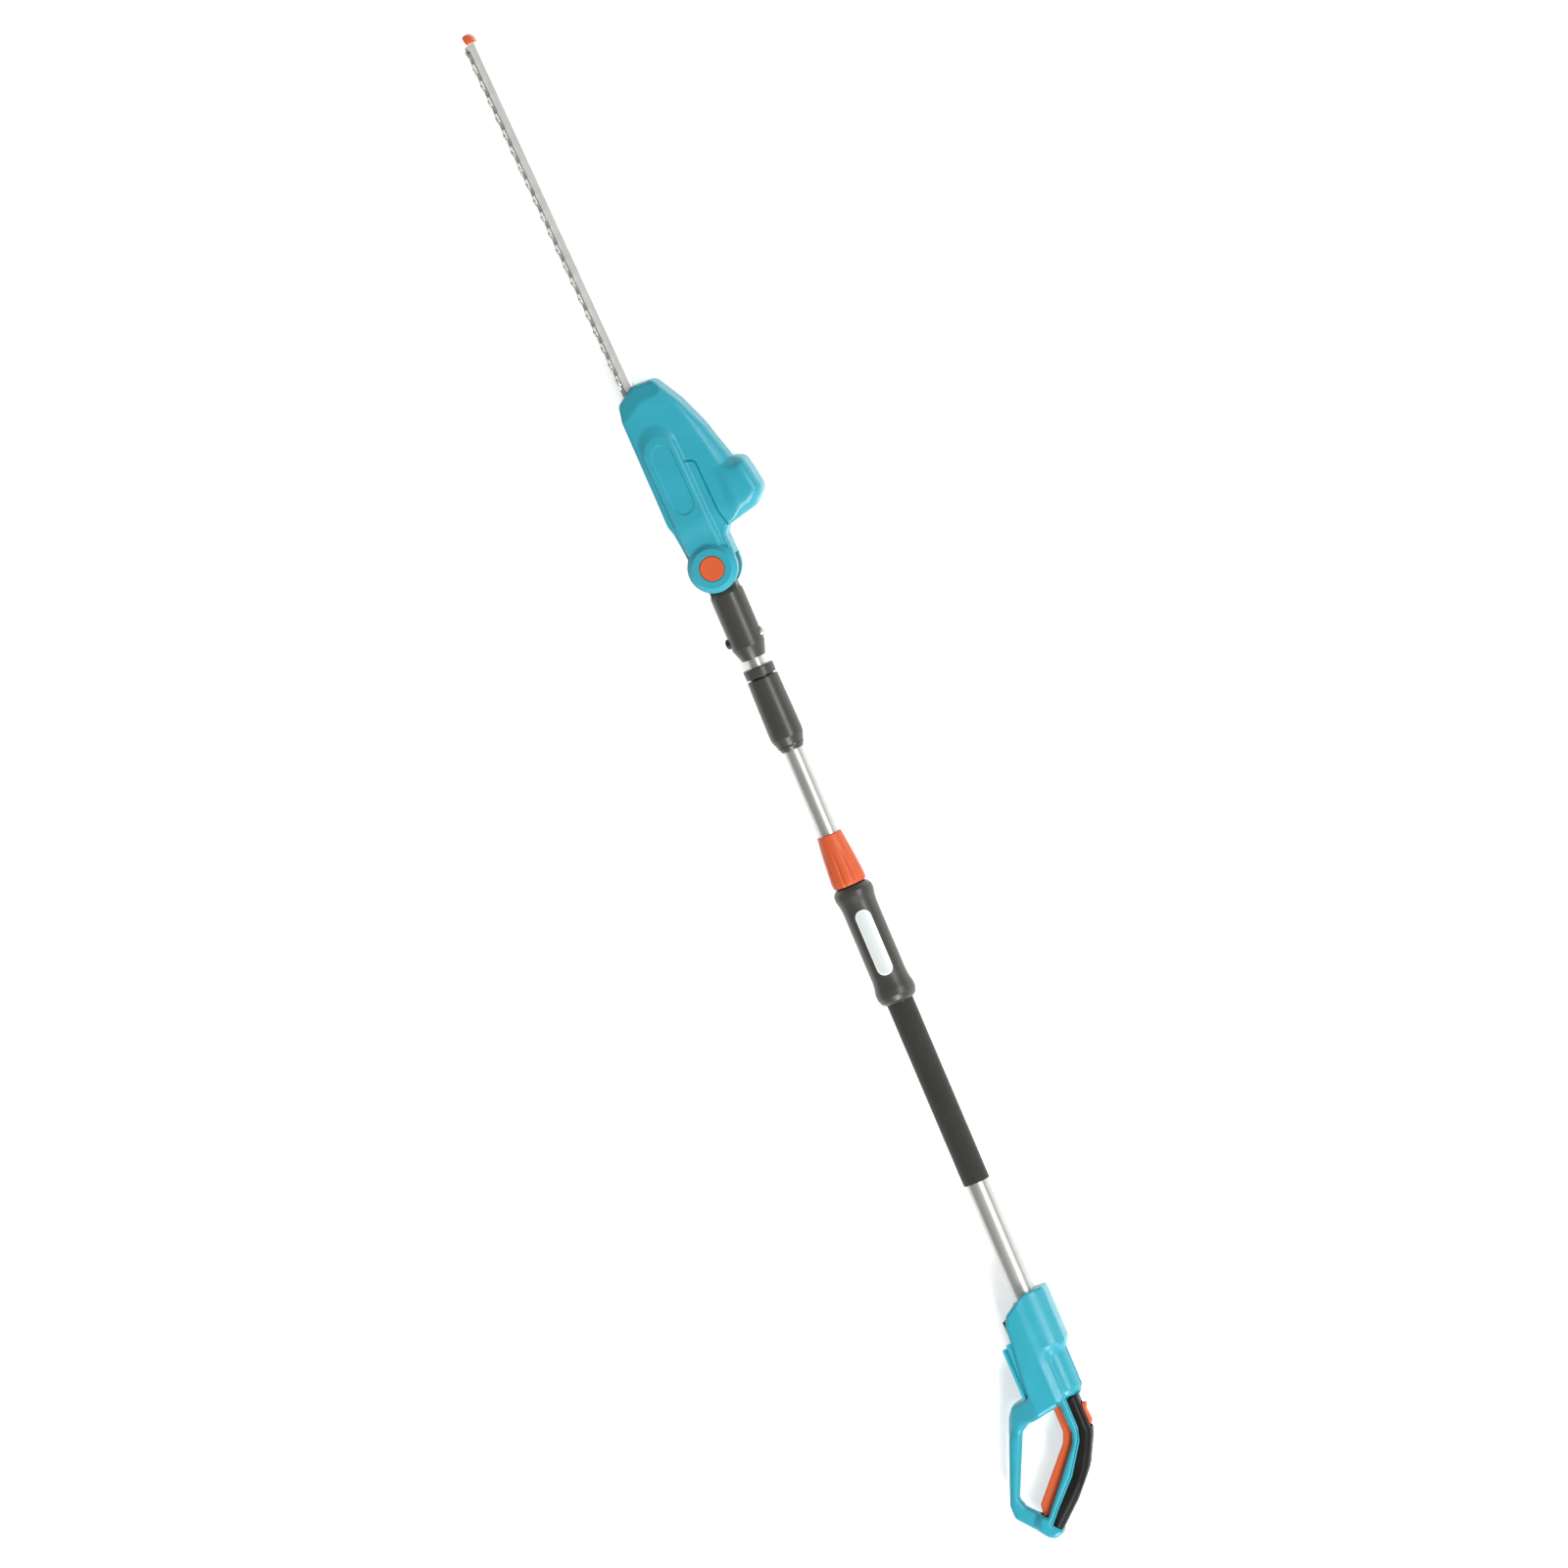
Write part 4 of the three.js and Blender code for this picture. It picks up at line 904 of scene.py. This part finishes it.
def screw_head(base, top, radius, axis, at):
    """A domed screw head with a hexagonal socket."""
    down = -1 if top < base else 1
    socket = top - down * 1.1
    corners = [[base, 0], [base, radius], [top - down * 0.5, radius, 0.35], [top, radius - 0.7, 0.3],
               [top, radius * 0.5], [socket, radius * 0.5], [socket, 0]]

    def hexagon(distance, r, angle):
        if r > radius * 0.55:
            return r
        sixth = math.pi / 3
        return r / math.cos((angle % sixth) - sixth / 2)

    vertices, faces = lathe(corners, axis=axis, at=at, count=48, shape=hexagon)
    if down < 0:
        faces = [tuple(reversed(face)) for face in faces]
    return vertices, faces


def shank(start_at, end_at, radius, axis, at):
    corners = [[start_at, 0], [start_at, radius], [end_at, radius], [end_at, 0]]
    return lathe(corners, axis=axis, at=at, count=24)


for i, x in enumerate(SLOT_X, 1):
    screw = joined(screw_head(14.1, 15.9, 5, "y", (x, 0, 0)), shank(1, 14.1, 2.6, "y", (x, 0, 0)))
    finish_piece(f"comb_bolt_{i}", *screw, "bright_steel", "head", replaces=[f"comb_screw_{i}"], place=HEAD)
for i, (x, y) in enumerate(HEAD_SCREWS, 1):
    screw = joined(screw_head(-24.7, -26.2, 3.8, "z", (x, y, 0)), shank(-24.7, 8, 1.8, "z", (x, y, 0)))
    finish_piece(f"casing_bolt_{i}", *screw, "bright_steel", "head", replaces=[f"head_screw_{i}"], place=HEAD)
for i, (x, y, depth) in enumerate(HANDLE_SCREWS, 1):
    screw = screw_head(-depth, -depth - 2.4, 3.8, "z", (x, y, 0))
    finish_piece(f"handle_bolt_{i}", *screw, "bright_steel", "handle", replaces=[f"handle_screw_{i}"])

# ---------- neck ----------

PIVOT_X, BOLT_X = 1222, 1130
LUG_R, LUG_HALF = 28, 13
STUB_BORE = 10.8
neck_barrel = lathe([[1104, STUB_BORE], [1104, 14.5, 0.8], [1120, 20.5, 3], [1187, 20.5, 2],
                     [1191.8, 18.2, 1.2], [1191.8, STUB_BORE]], count=96, bore=STUB_BORE)
lug_line = circle(PIVOT_X, 0, LUG_R, 96)
lug = relief([circle(PIVOT_X, 0, LUG_R, 110), circle(PIVOT_X, 0, BORE_R, 80)],
             lambda p: LUG_HALF - falloff(distances(p, lug_line), 1.0), lambda p, top: 0 * top,
             rows=(0.15, 0.5, 1.0), cell=5)
bridge_line = rounded([[1183, -16.9, 2], [1206, -16.9, 1], [1206, 16.9, 1], [1183, 16.9, 2]])
bridge = slab(bridge_line, -12.9, 12.9, 1.2)
finish_piece("neck_body", *joined(neck_barrel, lug, mirrored(*lug), bridge), "dark_grey_plastic",
             "head_section", replaces=["neck_socket"])
cap = lathe([[19.5, 0], [19.5, 6.0], [23.4, 6.0, 1.6], [25, 3.6, 1.5], [25, 0]], axis="y",
            at=(BOLT_X, 0, 0), count=48)
finish_piece("neck_bolt_cap", *cap, "black_plastic", "head_section", replaces=["neck_bolt"])
dome = lathe([[-26, 0], [-25.7, 2.6, 3], [-23.2, 5.9, 2], [-22.4, 6.4, 0.4], [-19.5, 6.4], [-19.5, 0]],
             axis="y", at=(BOLT_X, 0, 0), count=48)
finish_piece("neck_nut_dome", *dome, "bright_steel", "head_section", replaces=["neck_nut"])

# ---------- pole ----------

TUBE_WALL = 1.2
GRIP_BORE = 14.3  # round the outer tube


def tube(name, x0, x1, radius, body, node):
    bore = radius - TUBE_WALL
    made = lathe([[x0, bore], [x0, radius, 0.3], [x1, radius, 0.3], [x1, bore]], count=112, bore=bore)
    finish_piece(name, *made, "tube_aluminium", body, replaces=[node])


tube("pole_outer", TUBE_START, 822, 14, "handle", "outer_tube")
tube("pole_inner", 300, 1010, 11.75, "inner_pole", "inner_tube")
tube("pole_stub", 1016, 1180, 10.5, "head_section", "stub_tube")


def turned_piece(name, corners, bore, look, body, node, shape=None, count=96):
    made = lathe(corners, count=count, bore=bore, shape=shape)
    return finish_piece(name, *made, look, body, replaces=[node])


COLLAR = [[1081, STUB_BORE], [1081, 18.6, 0.8], [1093, 19, 1.6], [1093, STUB_BORE]]
turned_piece("coupling_collar", COLLAR, STUB_BORE, "dark_grey_plastic", "head_section", "coupling_ring")
turned_piece("coupling_core", [[992, 12.05], [992, 15.9, 0.4], [1077, 15.9, 0.4], [1077, 14.5, 0.2],
                               [1080.6, 14.5, 0.4], [1080.6, 12.05]], 12.05, "black_plastic", "inner_pole",
             "coupling_socket")
SHROUD = [[986, 12.35], [986, 13.4, 0.6], [988.5, 14.5, 1.2], [1003, 20.3, 5], [1010, 20.6, 20],
          [1078.6, 19.1, 1.2], [1078.6, 16.4], [991, 16.4], [991, 12.35]]
turned_piece("coupling_shroud", SHROUD, None, "dark_grey_plastic", "coupling_sleeve", "coupling_sleeve")

GRIP_PROFILE = [
    [661, GRIP_BORE], [661, 16.8, 0.8], [664.5, 21.6, 3], [671, 24.3, 5], [678, 24.3, 8], [686, 22.4, 12],
    [694, 21.6, 20], [783, 21.6, 20], [791, 22.6, 12], [798.5, 24.3, 7], [804.5, 24.1, 4], [809.5, 20.6, 3],
    [810.8, 17.6, 0.8], [810.8, GRIP_BORE]]
turned_piece("grip_front", GRIP_PROFILE, GRIP_BORE, "dark_grey_plastic", "handle", "front_grip", count=128)

FLUTES, FLUTE_END, FLUTE_DEPTH = 10, 864, 1.15
NUT_START = 811.6


def fluted(distance, radius, angle):
    """The nut's radius with its finger flutes, which run out towards its front end."""
    inside_nut = radius < 17 and distance < 850
    if inside_nut or radius < 14.4:
        return radius
    phase = (angle * FLUTES / (2 * math.pi) + 0.25) % 1
    across = abs(phase - 0.5) * 2
    groove = max(0.0, 1 - across / 0.34)
    fade = max(0.0, min(1.0, (FLUTE_END - distance) / 22)) * max(0.0, min(1.0, (distance - NUT_START) / 1.5))
    return radius - FLUTE_DEPTH * fade * groove**0.8


nut_line = [[NUT_START, 16.6], [NUT_START, 18.8, 0.8], [814.2, 20.7, 1.5], [820, 21, 6]]
nut_line += [[820 + k * 3, 21 - k * 0.26] for k in range(1, 10)]
nut_line += [[850 + k * 3.25, 18.4 - k * 0.4] for k in range(0, 8)]
nut_line += [[876.6, 15.1, 1.2], [876.6, 12.2], [869, 12.2], [866, 16.6], [NUT_START, 16.6]]
finish_piece("clamp_twist_nut", *lathe(nut_line, count=240, shape=fluted), "orange_trim", "clamp_nut",
             replaces=["clamp_nut"], sharp=40)

FOAM_R, FOAM_EDGE_R, FOAM_RINGS = 16.35, 16.3, 150
foam_start, foam_end = [(v.x - start.x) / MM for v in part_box("foam_sleeve")]
foam_line = [[foam_start, GRIP_BORE], [foam_start, FOAM_EDGE_R, 1.3]]
foam_line += [[foam_start + (foam_end - foam_start) * k / FOAM_RINGS, FOAM_R]
              for k in range(2, FOAM_RINGS - 1)]
foam_line += [[foam_end, FOAM_EDGE_R, 0.8], [foam_end, GRIP_BORE]]


def supple(distance, radius, angle):
    """Foam is never quite round: a slow wander of a tenth of a millimetre."""
    if radius < 15:
        return radius
    wave = math.sin(distance * 0.13 + 2 * math.sin(angle)) * math.cos(3 * angle + distance * 0.02)
    return radius - 0.10 * (1 + wave) / 2


foam = turned_piece("foam_grip", foam_line, GRIP_BORE, "foam", "handle", "foam_sleeve", shape=supple)


# ---------- badge ----------

BADGE_R = 22.0  # the radius that the flat plate is bent to


def badge(x0, x1, y, half, base, top, edge):
    """A blank stadium plate wrapped round the grip."""
    line = rounded(
        [[x0, y - half, half], [x1, y - half, half], [x1, y + half, half], [x0, y + half, half]], step=1.0)
    vertices, faces = relief(
        [line], lambda p: top - falloff(distances(p, line), edge), lambda p, high: base + 0 * high,
        rows=(0.1, 0.3, 0.6), cell=2.2)
    return [(x, r * math.sin(v / BADGE_R), r * math.cos(v / BADGE_R)) for x, v, r in vertices], faces


BADGE_Y = -2.5
rim = badge(697, 780, BADGE_Y, 10.0, 21.7, 22.55, 0.5)
face = badge(698.7, 778.3, BADGE_Y, 8.3, 22.1, 22.7, 0.15)
finish_piece("badge_rim", *rim, RIM_WHITE, "handle", slot="pale_label", replaces=["grip_badge"])
finish_piece("badge_face", *face, "pale_label", "handle", replaces=["grip_badge"])

# ---------- CAD nodes that stay, with their finishes ----------

EDGE_BEVEL = 0.4

for node_object in frame["nodes"].values():
    if node_object.hide_render:
        continue
    name = node_object.data.materials[0].name.split(".")[0]
    node_object.data.materials[0] = FINISHES[name]
    if node_object.name.startswith(("battery_rail", "terminal", "control", "switch")):
        bevel = node_object.modifiers.new("edges", "BEVEL")
        bevel.width = EDGE_BEVEL * MM
        bevel.segments = 2
        bevel.limit_method = "ANGLE"

# ---------- camera, floor and light ----------

LENS, SENSOR = 354.18, 36
EYE, AIM = (2031, -3034, 18000), (951.9, 26.2, 0)
VIEW_UP = (0.9187, -0.3767, -0.1191)  # up in the view

camera = bpy.data.objects.new("camera", bpy.data.cameras.new("camera"))
bpy.context.scene.collection.objects.link(camera)
bpy.context.scene.camera = camera
camera.data.sensor_width = SENSOR
camera.data.lens = LENS
camera.data.clip_start, camera.data.clip_end = 0.5, 60
eye, aim = POLE @ Vector(EYE), POLE @ Vector(AIM)
back = (eye - aim).normalized()
right = Vector(VIEW_UP).cross(back).normalized()
up = back.cross(right)
turn = Matrix((right, up, back)).transposed().to_4x4()
camera.matrix_world = Matrix.Translation(eye) @ turn

FLOOR_HALF = 12.0
FLOOR_GAP = 0.0005
WORLD_LIGHT = 0.45


def floor_finish():
    f = Finish("studio_floor")
    tone = f.ramp(f.noise(1.5, 3), (0.3, (0.90, 0.90, 0.89)), (0.7, (0.93, 0.93, 0.92)))
    return f.set(colour=tone, roughness=f.between(f.noise(8, 3), 0.75, 0.9), specular=0.1,
                 glow=(1, 1, 1, 1), glow_strength=0.45, normal=f.bump(f.noise(300, 2), 0.05, 0.0003))


ground_mesh = bpy.data.meshes.new("studio_floor")
ground_z = cad_low.z - FLOOR_GAP
corners = [(-FLOOR_HALF, -FLOOR_HALF), (FLOOR_HALF, -FLOOR_HALF), (FLOOR_HALF, FLOOR_HALF),
           (-FLOOR_HALF, FLOOR_HALF)]
ground_mesh.from_pydata([(x, y, ground_z) for x, y in corners], [], [(0, 1, 2, 3)])
ground_mesh.materials.append(floor_finish())
ground = bpy.data.objects.new("studio_floor", ground_mesh)
bpy.context.scene.collection.objects.link(ground)

world = bpy.data.worlds.new("studio")
world.use_nodes = True
background = world.node_tree.nodes["Background"]
background.inputs["Color"].default_value = (1.0, 1.0, 1.0, 1)
background.inputs["Strength"].default_value = WORLD_LIGHT
bpy.context.scene.world = world


def soft_light(name, place, size, power):
    light = bpy.data.lights.new(name, "AREA")
    light.shape = "RECTANGLE"
    light.size, light.size_y = size
    light.energy = power
    lamp = bpy.data.objects.new(name, light)
    bpy.context.scene.collection.objects.link(lamp)
    lamp.location = place
    lamp.rotation_mode = "QUATERNION"
    lamp.rotation_quaternion = Vector(place).to_track_quat("Z", "Y")
    lamp.visible_camera = False


soft_light("key", (-6.6, -0.5, 4.8), (2.6, 2.6), 590)
soft_light("strip", (-0.5, -3.5, 4.3), (3.8, 0.9), 175)

bpy.context.scene.view_settings.view_transform = "Standard"
